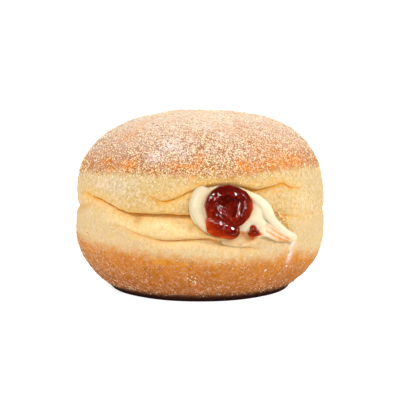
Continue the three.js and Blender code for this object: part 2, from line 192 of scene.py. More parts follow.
def relief(points: np.ndarray, size: float, seed: int) -> np.ndarray:
    """Gives smooth random bumps and dents, as gradient noise.

    Args:
        points: Points in mm, in the last axis.
        size: About how far apart the bumps are, in mm.
        seed: Chooses one pattern.

    Returns:
        A value from about -1 to 1 for each point.
    """
    generator = np.random.default_rng(seed)
    shuffled = generator.permutation(256)
    slopes = generator.normal(size=(256, 3))
    slopes /= np.linalg.norm(slopes, axis=1, keepdims=True)
    scaled = points / size
    cell = np.floor(scaled).astype(int)
    part = scaled - cell
    fade = part**3 * (part * (part * 6 - 15) + 10)
    total = np.zeros(points.shape[:-1])
    for corner in np.ndindex(2, 2, 2):
        key = np.zeros(points.shape[:-1], int)
        share = np.ones(points.shape[:-1])
        for axis, far in enumerate(corner):
            key = shuffled[(key + cell[..., axis] + far) & 255]
            share = share * (fade[..., axis] if far else 1 - fade[..., axis])
        total += share * ((part - np.array(corner)) * slopes[key]).sum(-1)
    return total * RELIEF_SCALE


@dataclass
class Surface:
    """A closed surface in mm, with values marked on its points."""

    points: np.ndarray
    faces: list
    marks: dict[str, np.ndarray] = field(default_factory=dict)

    def mesh_object(self, name: str) -> bpy.types.Object:
        """Turns the surface into a smooth mesh in metres.

        Args:
            name: The object's name.

        Returns:
            The new object, at the origin, with one attribute for each mark.
        """
        mesh = bpy.data.meshes.new(name)
        mesh.from_pydata((self.points * MM).tolist(), [], self.faces)
        mesh.shade_smooth()
        for mark, values in self.marks.items():
            attribute = mesh.attributes.new(mark, "FLOAT", "POINT")
            attribute.data.foreach_set("value", values.astype(np.float32).ravel())
        piece = bpy.data.objects.new(name, mesh)
        bpy.context.scene.collection.objects.link(piece)
        return piece


def evaluated_mesh(piece: bpy.types.Object) -> bpy.types.Mesh:
    """Turns a piece and its modifiers into a plain mesh, and clears the modifiers.

    Args:
        piece: The piece.

    Returns:
        The mesh, named after the piece.
    """
    graph = bpy.context.evaluated_depsgraph_get()
    mesh = bpy.data.meshes.new_from_object(
        piece.evaluated_get(graph), preserve_all_data_layers=True, depsgraph=graph
    )
    mesh.name = piece.name
    piece.modifiers.clear()
    return mesh


def finish_piece(piece: bpy.types.Object, material: bpy.types.Material) -> None:
    """Gives a piece its material, lets it ride on the part's only body, and logs it.

    Args:
        piece: The finished piece.
        material: Its material.
    """
    piece.data.materials.clear()
    piece.data.materials.append(material)
    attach(piece, BODY)
    LOG.info("%s: %d points, %d faces", piece.name, len(piece.data.vertices), len(piece.data.polygons))


# ---------------------------------------------------------------- the bun's skin


@dataclass(frozen=True)
class Fold:
    """A fold that runs right round the bun.

    Attributes:
        height: Height of its line, as (azimuth, mm) knots.
        depth: How far it goes in, as (azimuth, mm) knots.
        above: How far it reaches up from its line.
        below: How far it reaches down from its line.
        tuck: Angle at which it dives under the dough above it.
        tint: How strongly its bottom is painted golden and darker, as painted shade and painted glow.
    """

    height: Knots
    depth: Knots
    above: float
    below: float
    tuck: float
    tint: float = 1.0

    def push(self, azimuth: np.ndarray, z: np.ndarray) -> np.ndarray:
        """Gives how far the fold pushes the skin in, along its own dive."""
        offset = z - round_curve(self.height, azimuth)
        reach = np.where(offset > 0, self.above, self.below)
        share = 1 - np.minimum(1, np.abs(offset) / reach)
        return np.maximum(0, round_curve(self.depth, azimuth)) * share**3

    def line_mark(self, azimuth: np.ndarray, z: np.ndarray, above: float, below: float) -> np.ndarray:
        """Marks the bottom of the fold.

        Args:
            azimuth: Azimuths on the skin.
            z: Heights on the skin.
            above: How far the mark reaches up, in mm.
            below: How far it reaches down, in mm.

        Returns:
            1 in the bottom of the fold where it goes in far, and less to its sides and where it is shallow.
        """
        offset = z - round_curve(self.height, azimuth)
        reach = np.where(offset > 0, above, below)
        depth = np.maximum(0, round_curve(self.depth, azimuth))
        return self.tint * np.exp(-((np.abs(offset) / reach) ** 1.3)) * smooth_step(0.1, 1.8, depth)


@dataclass(frozen=True)
class Mound:
    """A rounded swelling of the skin, or a dent where out is negative, or a spot of one of its marks."""

    along: float
    up: float
    half_width: float
    half_height: float
    out: float

    def height(self, along: np.ndarray, up: np.ndarray) -> np.ndarray:
        """Gives the mound's height over places on the skin."""
        far = ((along - self.along) / self.half_width) ** 2 + ((up - self.up) / self.half_height) ** 2
        return self.out * np.exp(-far)


def mounds(*rows: tuple[float, float, float, float, float]) -> tuple[Mound, ...]:
    """Makes a mound of each row of along, up, half width, half height and out."""
    return tuple(Mound(*row) for row in rows)


def heights(spots: tuple[Mound, ...], along: np.ndarray, up: np.ndarray) -> np.ndarray:
    """Adds up the heights of mounds over places on the skin."""
    return sum(spot.height(along, up) for spot in spots)


@dataclass(frozen=True)
class Wave:
    """One slow wave of the bun's unevenness: its pace in radians per mm of x, y and z, its phase and size."""

    pace: Place
    phase: float
    size: float


@dataclass(frozen=True)
class Skin:
    """The bun's skin: a lathe whose meridian changes with azimuth.

    Above dome_start and below under_start the smooth bun closes in like a rounded square, the more squarely
    the higher the power. Folds, mounds and waves then move its skin, less and less below steady_height, so
    that its foot stays flat. The filling comes out of its mouth.
    """

    waist_radius: float = 42.8
    dome_start: float = 30.0
    dome_rise: float = 32.5
    dome_power: float = 2.42
    under_start: float = 22.0
    under_drop: float = 27.8
    under_power: float = 2.35
    foot_radius: float = 30.3
    foot_edge_height: float = 2.0
    foot_pinch: Knots = (
        (-150, 0.8), (-100, 1.0), (-82, 1.2), (-64, 1.3), (-45, 1.0), (-34, 0.3), (-21, -0.6), (0, -1.0),
        (21, -0.6), (34, 0.3), (45, 1.0), (64, 1.3), (82, 1.2), (100, 1.0), (150, 0.8),
    )
    foot_pinch_height: float = 12.0
    crown_lean: float = 1.0
    steady_height: float = 5.0
    mouth_azimuth: float = 17.5
    mouth: Mound = Mound(-3.6, 30.6, 12.2, 7.4, -5.4)
    mouth_rim: float = 0.3
    upper_fold: Fold = Fold(
        height=(
            (-150, 36.0), (-80, 37.0), (-24, 36.2), (-17, 34.0), (-12, 34.6), (-4, 37.2), (5, 38.8),
            (16, 38.6), (26, 36.8), (34, 37.6), (42, 38.6), (47, 37.2), (57, 37.0), (100, 36.0),
        ),
        depth=(
            (-60, 0.0), (-28, 0.2), (-18, 1.3), (-4, 2.0), (14, 2.2), (27, 2.4), (38, 2.0), (48, 1.3),
            (62, 0.3), (90, 0.0), (125, 0.8), (150, 0.5), (170, 0.0),
        ),
        above=3.2,
        below=5.0,
        tuck=32,
        tint=0.85,
    )
    main_fold: Fold = Fold(
        height=(
            (-160, 30.0), (-120, 29.6), (-96, 31.4), (-80, 33.8), (-66, 34.4), (-57, 33.4), (-48, 32.3),
            (-43, 31.0), (-38, 29.6), (-32, 28.8), (-15, 29.0), (-4, 28.7), (20, 29.6), (36, 29.2),
            (48, 27.8), (75, 28.2), (110, 27.2), (150, 28.4),
        ),
        depth=(
            (-165, 1.4), (-130, 1.5), (-100, 0.4), (-80, 0.2), (-68, 0.9), (-54, 1.8), (-46, 2.5),
            (-34, 3.5), (-10, 3.7), (10, 2.8), (30, 1.6), (40, 1.1), (60, 0.5), (92, 0.8), (130, 1.8),
            (165, 1.1),
        ),
        above=3.4,
        below=5.2,
        tuck=28,
    )
    lower_fold: Fold = Fold(
        height=(
            (-150, 21.0), (-90, 22.0), (-56, 25.4), (-39, 25.7), (-33, 24.1), (-26, 22.7), (-17, 21.4),
            (-8, 21.6), (3, 22.0), (9, 21.0), (16, 20.6), (24, 18.8), (40, 18.6), (80, 20.6), (120, 20.0),
        ),
        depth=(
            (-160, 0.6), (-140, 0.0), (-46, 0.0), (-38, 0.7), (-28, 1.4), (-10, 1.9), (8, 1.9), (19, 1.5),
            (26, 0.7), (34, 0.0), (150, 0.0), (172, 0.5),
        ),
        above=3.4,
        below=2.8,
        tuck=16,
        tint=0.4,
    )
    side_fold: Fold = Fold(
        height=(
            (-140, 26.0), (-110, 28.0), (-90, 28.8), (-72, 29.4), (-62, 30.9), (-53, 33.0), (60, 30.0),
        ),
        depth=(
            (-165, 0.0), (-140, 0.9), (-100, 1.3), (-76, 1.3), (-62, 0.9), (-54, 0.2), (-46, 0.0),
            (150, 0.0),
        ),
        above=3.2,
        below=3.4,
        tuck=12,
        tint=0.7,
    )
    mounds: tuple[Mound, ...] = mounds(
        (-4, 43.2, 17, 4.6, 1.0), (-25, 35.2, 15, 4.4, 0.9), (-24, 25.6, 17, 4.0, 0.7),
        (2, 16.2, 18, 5.0, 0.8), (18, 33.4, 7, 5.4, 1.1), (-76, 20.0, 24, 8.0, 1.2),
        (14.4, 29.4, 1.5, 1.0, -0.5), (16.6, 27.6, 1.8, 0.8, -0.5), (19.2, 25.8, 1.6, 0.8, -0.5),
        (15.6, 28.6, 1.4, 0.7, 0.5), (18.4, 26.9, 1.4, 0.6, 0.5), (17.4, 30.2, 3.2, 0.8, -0.3),
    )
    waves: tuple[Wave, ...] = (
        Wave((0.071, 0.038, 0.045), 2.2, 0.42),
        Wave((-0.052, 0.094, 0.03), 2.1, 0.34),
        Wave((0.031, -0.047, 0.118), 4.0, 0.28),
        Wave((0.162, 0.071, -0.09), 1.3, 0.15),
        Wave((-0.084, 0.171, 0.11), 5.2, 0.13),
    )

    @property
    def folds(self) -> tuple[Fold, ...]:
        """All folds of the waist."""
        return self.upper_fold, self.main_fold, self.lower_fold, self.side_fold

    def radius(self, z: np.ndarray) -> np.ndarray:
        """Gives the radius of the smooth bun at a height, above the rounding of its foot."""
        down = np.clip((self.under_start - z) / self.under_drop, 0, 1)
        up = np.clip((z - self.dome_start) / self.dome_rise, 0, 1)
        under = (1 - down**self.under_power) ** (1 / self.under_power)
        dome = (1 - up**self.dome_power) ** (1 / self.dome_power)
        return self.waist_radius * np.minimum(under, dome)

    def lean(self, z: np.ndarray) -> np.ndarray:
        """Gives how far the bun's axis has moved towards +X at a height."""
        return self.crown_lean * np.maximum(0, (z - self.dome_start) / self.dome_rise) ** 2

    def along(self, azimuth: np.ndarray) -> np.ndarray:
        """Gives the distance along the skin from the mouth."""
        return np.radians(azimuth - self.mouth_azimuth) * self.waist_radius

    def from_mouth(self, along: np.ndarray, z: np.ndarray) -> np.ndarray:
        """Gives how far out of the mouth a place on the skin is: 0 in its middle, 1 at its rim."""
        mouth = self.mouth
        return np.hypot((along - mouth.along) / mouth.half_width, (z - mouth.up) / mouth.half_height)

    def unevenness(self, points: np.ndarray) -> np.ndarray:
        """Gives the slow bumps and dents of the skin, outwards."""
        return sum(wave.size * np.sin(points @ np.array(wave.pace) + wave.phase) for wave in self.waves)

    def place(self, azimuth: np.ndarray, radius: np.ndarray, z: np.ndarray) -> np.ndarray:
        """Moves points of the smooth meridian to the folded, swollen skin.

        Args:
            azimuth: Their azimuths.
            radius: Their distances from the axis.
            z: Their heights.

        Returns:
            The points, with x, y and z in the last axis.
        """
        angle = np.radians(azimuth)
        smooth = np.stack([radius * np.sin(angle), -radius * np.cos(angle), z], -1)
        along = self.along(azimuth)
        inward = np.zeros_like(z)
        upward = np.zeros_like(z)
        for fold in self.folds:
            push = fold.push(azimuth, z)
            inward += push * math.cos(math.radians(fold.tuck))
            upward += push * math.sin(math.radians(fold.tuck))
        mouth = self.from_mouth(along, z)
        inward -= self.mouth.out * (1 - smooth_step(1 - self.mouth_rim, 1 + self.mouth_rim / 2, mouth))
        for mound in self.mounds:
            inward -= mound.height(along, z)
        free = smooth_step(0, self.steady_height, z)
        swell = self.unevenness(smooth) * free
        levelness = np.clip((z - self.dome_start) / self.dome_rise, 0, 1) ** 2
        pinch = round_curve(self.foot_pinch, azimuth) * (1 - smooth_step(0, self.foot_pinch_height, z))
        outward = swell * (1 - levelness) - inward * free - pinch
        stretch = np.where(radius > 0, (radius + outward) / np.maximum(radius, LEAST_RADIUS), 1)
        return np.stack(
            [
                smooth[..., 0] * stretch + self.lean(z),
                smooth[..., 1] * stretch,
                z + upward * free + swell * levelness,
            ],
            -1,
        )

    def wrap(self, places: np.ndarray) -> np.ndarray:
        """Turns places given along, up and out from the mouth into points of the part."""
        along, up, out = np.moveaxis(places, -1, 0)
        angle = np.radians(self.mouth_azimuth) + along / self.waist_radius
        radius = self.radius(up) + out
        return np.stack([radius * np.sin(angle) + self.lean(up), -radius * np.cos(angle), up], -1)

    def meridian(self, samples: int = 1500) -> tuple[np.ndarray, np.ndarray, np.ndarray]:
        """Follows the smooth meridian from the edge of the foot to the crown.

        Args:
            samples: How many points each quarter of it has.

        Returns:
            The length gone, the radius and the height at each point.
        """
        turn = np.linspace(0, 1, samples) * np.pi / 2
        foot = (self.under_start - self.foot_edge_height) / self.under_drop
        under = self.under_start - self.under_drop * np.sin(turn[::-1]) ** (2 / self.under_power)
        under = under[under > self.under_start - self.under_drop * foot]
        band = np.linspace(self.under_start, self.dome_start, samples)
        dome = self.dome_start + self.dome_rise * np.sin(turn) ** (2 / self.dome_power)
        rim = self.foot_edge_height * np.linspace(0, 1, samples // 10) ** 2
        edge = self.radius(np.array(self.foot_edge_height))
        rim_radius = self.foot_radius + (edge - self.foot_radius) * np.sqrt(rim / self.foot_edge_height)
        dome_radius = self.waist_radius * np.maximum(np.cos(turn), 0) ** (2 / self.dome_power)
        z = np.concatenate([rim, under, band[1:], dome[1:]])
        radius = np.concatenate([rim_radius, self.radius(np.concatenate([under, band[1:]])), dome_radius[1:]])
        steps = np.hypot(np.diff(z), np.diff(radius))
        return np.concatenate([[0], np.cumsum(steps)]), radius, z


# ---------------------------------------------------------------- fillings


@dataclass(frozen=True)
class Blob:
    """An ellipsoid: its centre as along, up and out, and its semi-axes in the same order."""

    centre: Place
    size: Place

    def distance(self, places: np.ndarray) -> np.ndarray:
        """Gives a distance-like value: negative inside."""
        apart = places - np.array(self.centre)
        near = np.linalg.norm(apart / np.array(self.size), axis=-1)
        steep = np.linalg.norm(apart / np.array(self.size) ** 2, axis=-1)
        return near * (near - 1) / np.maximum(steep, TINY)


def blobs(*rows: tuple[Place, Place]) -> tuple[Blob, ...]:
    """Makes an ellipsoid of each row of centre and semi-axes."""
    return tuple(Blob(*row) for row in rows)


@dataclass(frozen=True)
class Rope:
    """A round strand through stations of along, up, out and radius."""

    stations: tuple[tuple[float, float, float, float], ...]

    def distance(self, places: np.ndarray) -> np.ndarray:
        """Gives the distance from the strand's surface: negative inside."""
        best = np.full(places.shape[:-1], np.inf)
        for start, end in zip(self.stations, self.stations[1:]):
            a, b = np.array(start[:3]), np.array(end[:3])
            step = b - a
            t = np.clip((places - a) @ step / (step @ step), 0, 1)
            gap = np.linalg.norm(places - a - t[..., None] * step, axis=-1)
            best = np.minimum(best, gap - (start[3] + t * (end[3] - start[3])))
        return best


def ropes(*paths: tuple[tuple[float, float, float, float], ...]) -> tuple[Rope, ...]:
    """Makes a strand of each path of stations."""
    return tuple(Rope(path) for path in paths)


@dataclass(frozen=True)
class Grain:
    """Fine relief: about how far apart its bumps are, how high they are, and its pattern."""

    size: float
    height: float
    seed: int


@dataclass(frozen=True)
class Core:
    """The ellipsoid that a filling makes inside the bun, with its middle at reach from the bun's axis."""

    reach: float
    up: float
    half_length: float
    half_width: float
    half_height: float
    azimuth: float = 13.0
    segments: int = 16

    def surface(self) -> Surface:
        """Gives the ellipsoid as a closed surface of rings between two poles."""
        turns = np.arange(self.segments) * 2 * np.pi / self.segments
        rings = np.arange(1, self.segments // 2) * 2 * np.pi / self.segments
        ring, turn = np.meshgrid(rings, turns, indexing="ij")
        flat = np.stack([np.sin(ring) * np.cos(turn), -np.cos(ring), np.sin(ring) * np.sin(turn)], -1)
        points = np.concatenate([flat.reshape(-1, 3), [[0, -1, 0], [0, 1, 0]]])
        points = points * [self.half_width, self.half_length, self.half_height] - [0, self.reach, -self.up]
        angle = math.radians(self.azimuth)
        turned = np.array([[math.cos(angle), -math.sin(angle)], [math.sin(angle), math.cos(angle)]])
        points[:, :2] = points[:, :2] @ turned.T
        count, last = self.segments, len(rings) - 1
        front, back = len(points) - 2, len(points) - 1
        faces = []
        for column in range(count):
            beside = (column + 1) % count
            faces.append((front, column, beside))
            for row in range(last):
                low, high = row * count, (row + 1) * count
                faces.append((low + beside, low + column, high + column, high + beside))
            faces.append((back, last * count + beside, last * count + column))
        return Surface(points, faces)


@dataclass(frozen=True)
class Filling:
    """A soft filling: blobs and strands that run together, less its hollows, with a fine relief."""

    blobs: tuple[Blob, ...]
    ropes: tuple[Rope, ...] = ()
    hollows: tuple[Blob | Rope, ...] = ()
    grains: tuple[Grain, ...] = ()
    pulp: Grain = Grain(0.8, 0.2, 44)
    pulp_spots: tuple[Mound, ...] = ()
    blend: float = 1.0
    cell: float = 0.3  # side of the cells that it is meshed in
    margin: float = 1.2  # from its parts to the edge of the meshed box
    settling: int = 3  # how often the mesh's points are moved on to the surface

    def pulpy(self, places: np.ndarray) -> np.ndarray:
        """Gives how full of bits the filling is at places along, up and out: 0 where it is smooth."""
        return np.minimum(1, heights(self.pulp_spots, places[..., 0], places[..., 1]))

    def distance(self, places: np.ndarray) -> np.ndarray:
        """Gives a distance-like value at places along, up and out: negative inside."""
        value = self.blobs[0].distance(places)
        for part in (*self.blobs[1:], *self.ropes):
            value = smooth_union(value, part.distance(places), self.blend)
        for hollow in self.hollows:
            value = -smooth_union(-value, hollow.distance(places), self.blend)
        for grain in self.grains:
            value = value - grain.height * relief(places, grain.size, grain.seed)
        if self.pulp_spots:
            bits = relief(places, self.pulp.size, self.pulp.seed)
            value = value - self.pulp.height * self.pulpy(places) * bits
        return value

    def box(self) -> tuple[np.ndarray, np.ndarray]:
        """Gives the lowest and highest place of the box that holds the filling."""
        held = [(np.array(blob.centre), np.array(blob.size)) for blob in self.blobs]
        for rope in self.ropes:
            held += [(np.array(station[:3]), np.full(3, station[3])) for station in rope.stations]
        low = np.min([centre - size for centre, size in held], axis=0)
        high = np.max([centre + size for centre, size in held], axis=0)
        return low - self.margin, high + self.margin

    def surface(self) -> Surface:
        """Finds the surface where the distance is zero, by surface nets, in places along, up and out."""
        low, high = self.box()
        counts = np.ceil((high - low) / self.cell).astype(int) + 1
        grid = np.stack(np.meshgrid(*[np.arange(n) for n in counts], indexing="ij"), -1)
        values = self.distance(low + grid * self.cell)
        points, faces = surface_net(values)
        places = low + points * self.cell
        for _ in range(self.settling):
            places = self.settled(places)
        return Surface(places, faces)

    def settled(self, places: np.ndarray, reach: float = 0.04) -> np.ndarray:
        """Moves places near the surface on to it, down the slope of the distance, felt over a reach in mm."""
        value = self.distance(places)
        ahead = [self.distance(places + step) for step in np.eye(3) * reach]
        slope = np.stack([(there - value) / reach for there in ahead], -1)
        steep = np.maximum((slope**2).sum(-1), LEAST_SLOPE)
        move = np.clip(value / steep, -self.cell, self.cell)
        return places - move[:, None] * slope


def surface_net(values: np.ndarray) -> tuple[np.ndarray, list]:
    """Meshes the surface where values on a grid cross zero.

    Args:
        values: A value at each corner of a three-way grid: negative inside.

    Returns:
        The net's points in grid steps, one in each cell that the surface crosses, and its four-sided faces.
    """
    inside = values < 0
    cells = tuple(n - 1 for n in values.shape)
    total = np.zeros((*cells, 3))
    crossings = np.zeros(cells)
    for axis in range(3):
        for first, second in np.ndindex(2, 2):
            start = [slice(0, n) for n in cells]
            start[(axis + 1) % 3] = slice(first, cells[(axis + 1) % 3] + first)
            start[(axis + 2) % 3] = slice(second, cells[(axis + 2) % 3] + second)
            end = list(start)
            end[axis] = slice(1, cells[axis] + 1)
            a, b = values[tuple(start)], values[tuple(end)]
            crossed = (a < 0) != (b < 0)
            part = np.where(crossed, a / np.where(crossed, a - b, 1), 0)
            place = np.zeros((*cells, 3))
            place[..., axis] = part
            place[..., (axis + 1) % 3] = first
            place[..., (axis + 2) % 3] = second
            total += place * crossed[..., None]
            crossings += crossed
    used = crossings > 0
    number = np.full(cells, -1)
    number[used] = np.arange(used.sum())
    corner = np.argwhere(used)
    points = corner + total[used] / crossings[used][:, None]
    faces = []
    for axis in range(3):
        step = np.eye(3, dtype=int)[axis]
        start = inside[tuple(slice(0, n - s) for n, s in zip(values.shape, step))]
        end = inside[tuple(slice(s, n) for n, s in zip(values.shape, step))]
        edges = np.argwhere(start != end)
        second, third = (axis + 1) % 3, (axis + 2) % 3
        ring = []
        for back_second, back_third in ((1, 1), (0, 1), (0, 0), (1, 0)):
            cell = edges.copy()
            cell[:, second] -= back_second
            cell[:, third] -= back_third
            ring.append(number[tuple(cell.T)])
        quads = np.stack(ring, -1)
        outward = inside[tuple(edges.T)]
        faces += np.where(outward[:, None], quads, quads[:, ::-1]).tolist()
    return points, faces


# ---------------------------------------------------------------- finishes


def between(value: Link, start: Span, end: Span = (0.0, 1.0)) -> dict[str, Any]:
    """Gives the inputs of a node that turns one span of values into another."""
    return {"Value": value, "From Min": start[0], "From Max": start[1], "To Min": end[0], "To Max": end[1]}


def layered(tree: bpy.types.NodeTree, colour: Any, layers: tuple[tuple[Link, Any], ...]) -> bpy.types.Node:
    """Lays colours over a colour, one after another.

    Args:
        tree: The material's node tree.
        colour: The lowest colour.
        layers: For each colour above it, where it covers, and the colour, as "#rrggbb" or from a node.

    Returns:
        What is seen from above.
    """
    for cover, tone in layers:
        inputs = {"Factor": cover, "A": colour, "B": linear(tone) if isinstance(tone, str) else tone}
        colour = add_node(tree, "ShaderNodeMix", inputs, data_type="RGBA")
    return colour


@dataclass(frozen=True)
class Flesh:
    """How a soft food takes light."""

    roughness: float
    ior: float
    glow: float  # share of the light that goes into it
    reach: Place  # how far red, green and blue light go in, as shares of depth
    depth: float  # mm
    mirror: float = 0.5  # how strongly it mirrors, 0.5 being plain

    def shade(self, tree: bpy.types.NodeTree, colour: Link, bump: Link, **coat: Any) -> None:
        """Adds the shader and the output to a material.

        Args:
            tree: The material's node tree.
            colour: The colour.
            bump: The surface's bumps.
            **coat: What a wet coat over it takes, with low lines for spaces.
        """
        inputs = {
            "Base Color": colour, "Roughness": self.roughness, "IOR": self.ior, "Normal": bump,
            "Specular IOR Level": self.mirror, "Subsurface Weight": self.glow,
            "Subsurface Radius": self.reach, "Subsurface Scale": self.depth * MM,
        }
        inputs |= {name.replace("_", " "): value for name, value in coat.items()}
        shader = add_node(tree, "ShaderNodeBsdfPrincipled", inputs)
        add_node(tree, "ShaderNodeOutputMaterial", {"Surface": shader})


@dataclass(frozen=True)
class Sources:
    """What the parts of a material read: its tree, and its marks, noises and shares by name."""

    tree: bpy.types.NodeTree
    mark: dict[str, Link]
    noise: dict[str, Link]
    share: dict[str, Link]


@dataclass(frozen=True)
class DoughFinish:
    """Fried yeast dough: a dry, matte skin that lets a little light in.

    It is pale yellow round the waist, where it stood out of the fat, and browned above and below, with an
    uneven edge. The bottoms of its folds are golden and darker, as painted shade and a painted glow of
    light inside the dough, beside them it is brighter as painted light, and its foot is near black as painted
    shade under the bun. A painted highlight on the dome is drawn as a whiter dusting. Its dusting of sugar is
    drawn here as flecks, under the larger crystals that are strewn on it.
    """

    name: str = "fried_yeast_dough"
    marks: tuple[str, ...] = (
        "top_crust", "base_crust", "browning_and_crease_shade", "glow", "fresh", "powder_and_highlight", "stain", "foot", "sugar", "toast",
        "bloom", "tan", "whiteness", "lit", "calm",
    )
    noises: tuple[tuple[str, float, float], ...] = (  # name, mm from patch to patch, finer layers
        ("wander", 3.4, 4.0),  # how the crusts' edges wander
        ("patch", 7.0, 3.0),  # drier and pinker patches
        ("cloud", 4.2, 4.0),  # yellower, darker and more toasted places
        ("pores", 1.1, 3.0),  # the grain of the skin
        ("bloom", 1.3, 3.0),  # duller places, and pale bloom on the base
    )
    layer_share: float = 0.58  # strength of each finer layer, as a share of the one before
    shares: tuple[tuple[str, str, Span], ...] = (  # name, noise, its values at 0 and at 1
        ("patch", "patch", (0.42, 0.7)),
        ("cloud", "cloud", (0.36, 0.64)),
        ("pink", "patch", (0.6, 0.36)),
        ("bloom", "bloom", (0.46, 0.68)),
        ("dull", "bloom", (0.52, 0.34)),
    )

    pale: str = "#cab086"
    pale_dry: str = "#c8ab84"
    pale_gold: str = "#ccb082"
    pale_dull: str = "#cba566"
    pale_tan: str = "#bea574"
    fresh: str = "#dac190"
    # fold bottoms, the crack and the mouth's rim: painted shade, coloured golden; golden tears are the
    # dough's own colour
    browning_and_crease_shade: str = "#de9824"
    # painted glow of light through the dough, round the folds
    glow: str = "#d8a244"
    stain: str = "#c48e3e"
    # painted shade: the underside near the table is near black
    foot: str = "#2a0a04"
    dull_share: float = 0.5

    dome_tones: Stops = ((0.0, "#ae682e"), (0.4, "#bb9882"), (1.0, "#c8bba3"))
    dome_span: Span = (1.5, 24.0)  # mm above its edge, from the first tone to the last
    dome_edge: Span = (0.4, 3.2)  # mm above its edge, where the dome's crust begins and where it covers
    dome_wander: float = 3.0  # mm
    dome_pink: str = "#bf8f6e"
    pink_share: float = 0.6
    toast: str = "#c98144"

    # darker down towards the foot: the crust's own browning, partly painted shade of the underside
    base_tones: Stops = ((0.0, "#d08a2a"), (0.34, "#be7932"), (1.0, "#985620"))
    base_span: Span = (0.6, 16.0)  # mm below its edge, from the first tone to the last
    base_edge: Span = (0.0, 5.2)  # mm below its edge, where the base's crust begins and where it covers
    base_wander: float = 4.5  # mm
    base_dark: str = "#9e581c"
    dark_share: float = 0.4
    base_bloom: str = "#cc926e"

    # painted highlight on the dome, drawn as a whiter dusting, and the real streak of sugar by the tail
    powder_and_highlight: str = "#e9e3e0"
    powder_and_highlight_evenness: float = 0.15
    fleck_size: float = 0.34  # mm, a little coarser than caster sugar, so that it shows
    fleck_gold: str = "#e9d2a2"
    fleck_white: str = "#e2d8ca"
    fleck_shadow: str = "#8e5028"
    fleck_share: float = 0.55
    fleck_rim: Span = (0.62, 0.4)  # distance from a fleck's middle where it ends and where it is full
    fleck_fade: Span = (-3.0, 3.0)  # mm into the base, over which flecks soak up fat and turn clear
    fleck_cover: Span = (0.9, 0.3)  # how much of the skin a dry fleck and a soaked one hide
    shadow_from: Span = (0.2, 1.0)  # how thick the sugar lies where none and most of its flecks throw shadows
    shadow_share: float = 0.46
    shadow_depth: float = 0.8

    speckle: Span = (0.93, 1.07)  # brightness from one fleck-sized place to the next
    pore_span: Span = (0.32, 0.68)
    pore_tone: Span = (0.85, 1.12)  # brightness from pores to swellings
    pore_richness: Span = (1.2, 0.82)  # saturation from pores to swellings
    calm_share: float = 0.65  # how much of the pores' contrast a stretched or fried skin loses
    calm_edge: Span = (-1.0, 4.0)  # mm into the base, over which it loses it

    pore_depth: float = 0.5  # mm
    fleck_height: float = 0.25  # mm
    bump_strength: float = 0.7
    flesh: Flesh = Flesh(roughness=0.75, ior=1.4, glow=0.35, reach=(1.0, 0.55, 0.22), depth=1.6, mirror=0.15)

    def material(self) -> bpy.types.Material:
        """Builds the material.

        Returns:
            The material, which reads the marks of the bun's surface.
        """
        material, tree = new_material(self.name)
        place = add_node(tree, "ShaderNodeTexCoord").outputs["Object"]
        mark = {
            name: add_node(tree, "ShaderNodeAttribute", attribute_name=name).outputs["Fac"]
            for name in self.marks
        }
        noise = {
            name: add_node(
                tree, "ShaderNodeTexNoise",
                {"Vector": place, "Scale": 1 / (size * MM), "Detail": layers, "Roughness": self.layer_share},
            )
            for name, size, layers in self.noises
        }
        share = {
            name: add_node(
                tree, "ShaderNodeMapRange", between(noise[source], span), interpolation_type="SMOOTHSTEP"
            )
            for name, source, span in self.shares
        }
        read = Sources(tree, mark, noise, share)
        crust = self.with_dome(read, self.with_base(read, self.waist(read)))
        # the whiter dusting: on the dome a painted highlight, by the tail a real streak of sugar
        uneven = add_node(
            tree, "ShaderNodeMath", {0: noise["pores"], 1: self.powder_and_highlight_evenness}, operation="ADD"
        )
        powder_and_highlight_cover = add_node(
            tree, "ShaderNodeMath", {0: uneven, 1: mark["powder_and_highlight"]}, operation="MULTIPLY", use_clamp=True
        )
        powder_and_highlight_crust = add_node(
            tree, "ShaderNodeMix", {"Factor": powder_and_highlight_cover, "A": crust, "B": linear(self.powder_and_highlight)},
            data_type="RGBA",
        )
        fleck, lots = self.flecks(read, place)
        mottled = self.mottled(read, lots["Blue"], self.with_flecks(read, fleck, lots, powder_and_highlight_crust))
        # painted glow and painted shade in the folds, real stains, and painted shade at the foot
        colour = layered(tree, mottled, (
            (mark["glow"], self.glow), (mark["browning_and_crease_shade"], self.browning_and_crease_shade), (mark["stain"], self.stain),
            (mark["foot"], self.foot),
        ))
        grained = add_node(
            tree, "ShaderNodeBump",
            {"Height": noise["pores"], "Distance": self.pore_depth * MM, "Strength": self.bump_strength},
        )
        bump = add_node(
            tree, "ShaderNodeBump",
            {
                "Height": fleck, "Distance": self.fleck_height * MM, "Strength": self.bump_strength,
                "Normal": grained,
            },
        )
        self.flesh.shade(tree, colour, bump)
        return material

    def waist(self, read: Sources) -> Link:
        """Colours the pale waist, cloudy, and yellower where it tore open last.

        Args:
            read: What the material reads.

        Returns:
            The colour.
        """
        dull = add_node(
            read.tree, "ShaderNodeMath", {0: read.share["dull"], 1: self.dull_share}, operation="MULTIPLY"
        )
        return layered(read.tree, linear(self.pale), (
            (read.share["patch"], self.pale_dry), (read.share["cloud"], self.pale_gold),
            (read.mark["tan"], self.pale_tan), (read.mark["fresh"], self.fresh), (dull, self.pale_dull),
        ))

    def crust(
        self, tree: bpy.types.NodeTree, beside: Link, gone: Link, tones: Stops, span: Span, edge: Span,
        layers: tuple[tuple[Link, str], ...],
    ) -> Link:
        """Browns one end of the bun.

        Args:
            tree: The material's node tree.
            beside: The colour on the other side of the crust's edge.
            gone: How far past the edge each point is, in mm.
            tones: The crust's tones.
            span: How far past the edge the first and the last tone are.
            edge: How far past the edge the crust begins, and where it covers.
            layers: What lies over the tones, as covers and tones.

        Returns:
            The colour.
        """
        ramp = add_node(tree, "ShaderNodeMapRange", between(gone, span))
        tone = add_node(tree, "ShaderNodeValToRGB", {"Fac": ramp}, stops=tones)
        begun = add_node(tree, "ShaderNodeMapRange", between(gone, edge), interpolation_type="SMOOTHSTEP")
        browned = layered(tree, tone, layers)
        return add_node(
            tree, "ShaderNodeMix", {"Factor": begun, "A": beside, "B": browned}, data_type="RGBA"
        )

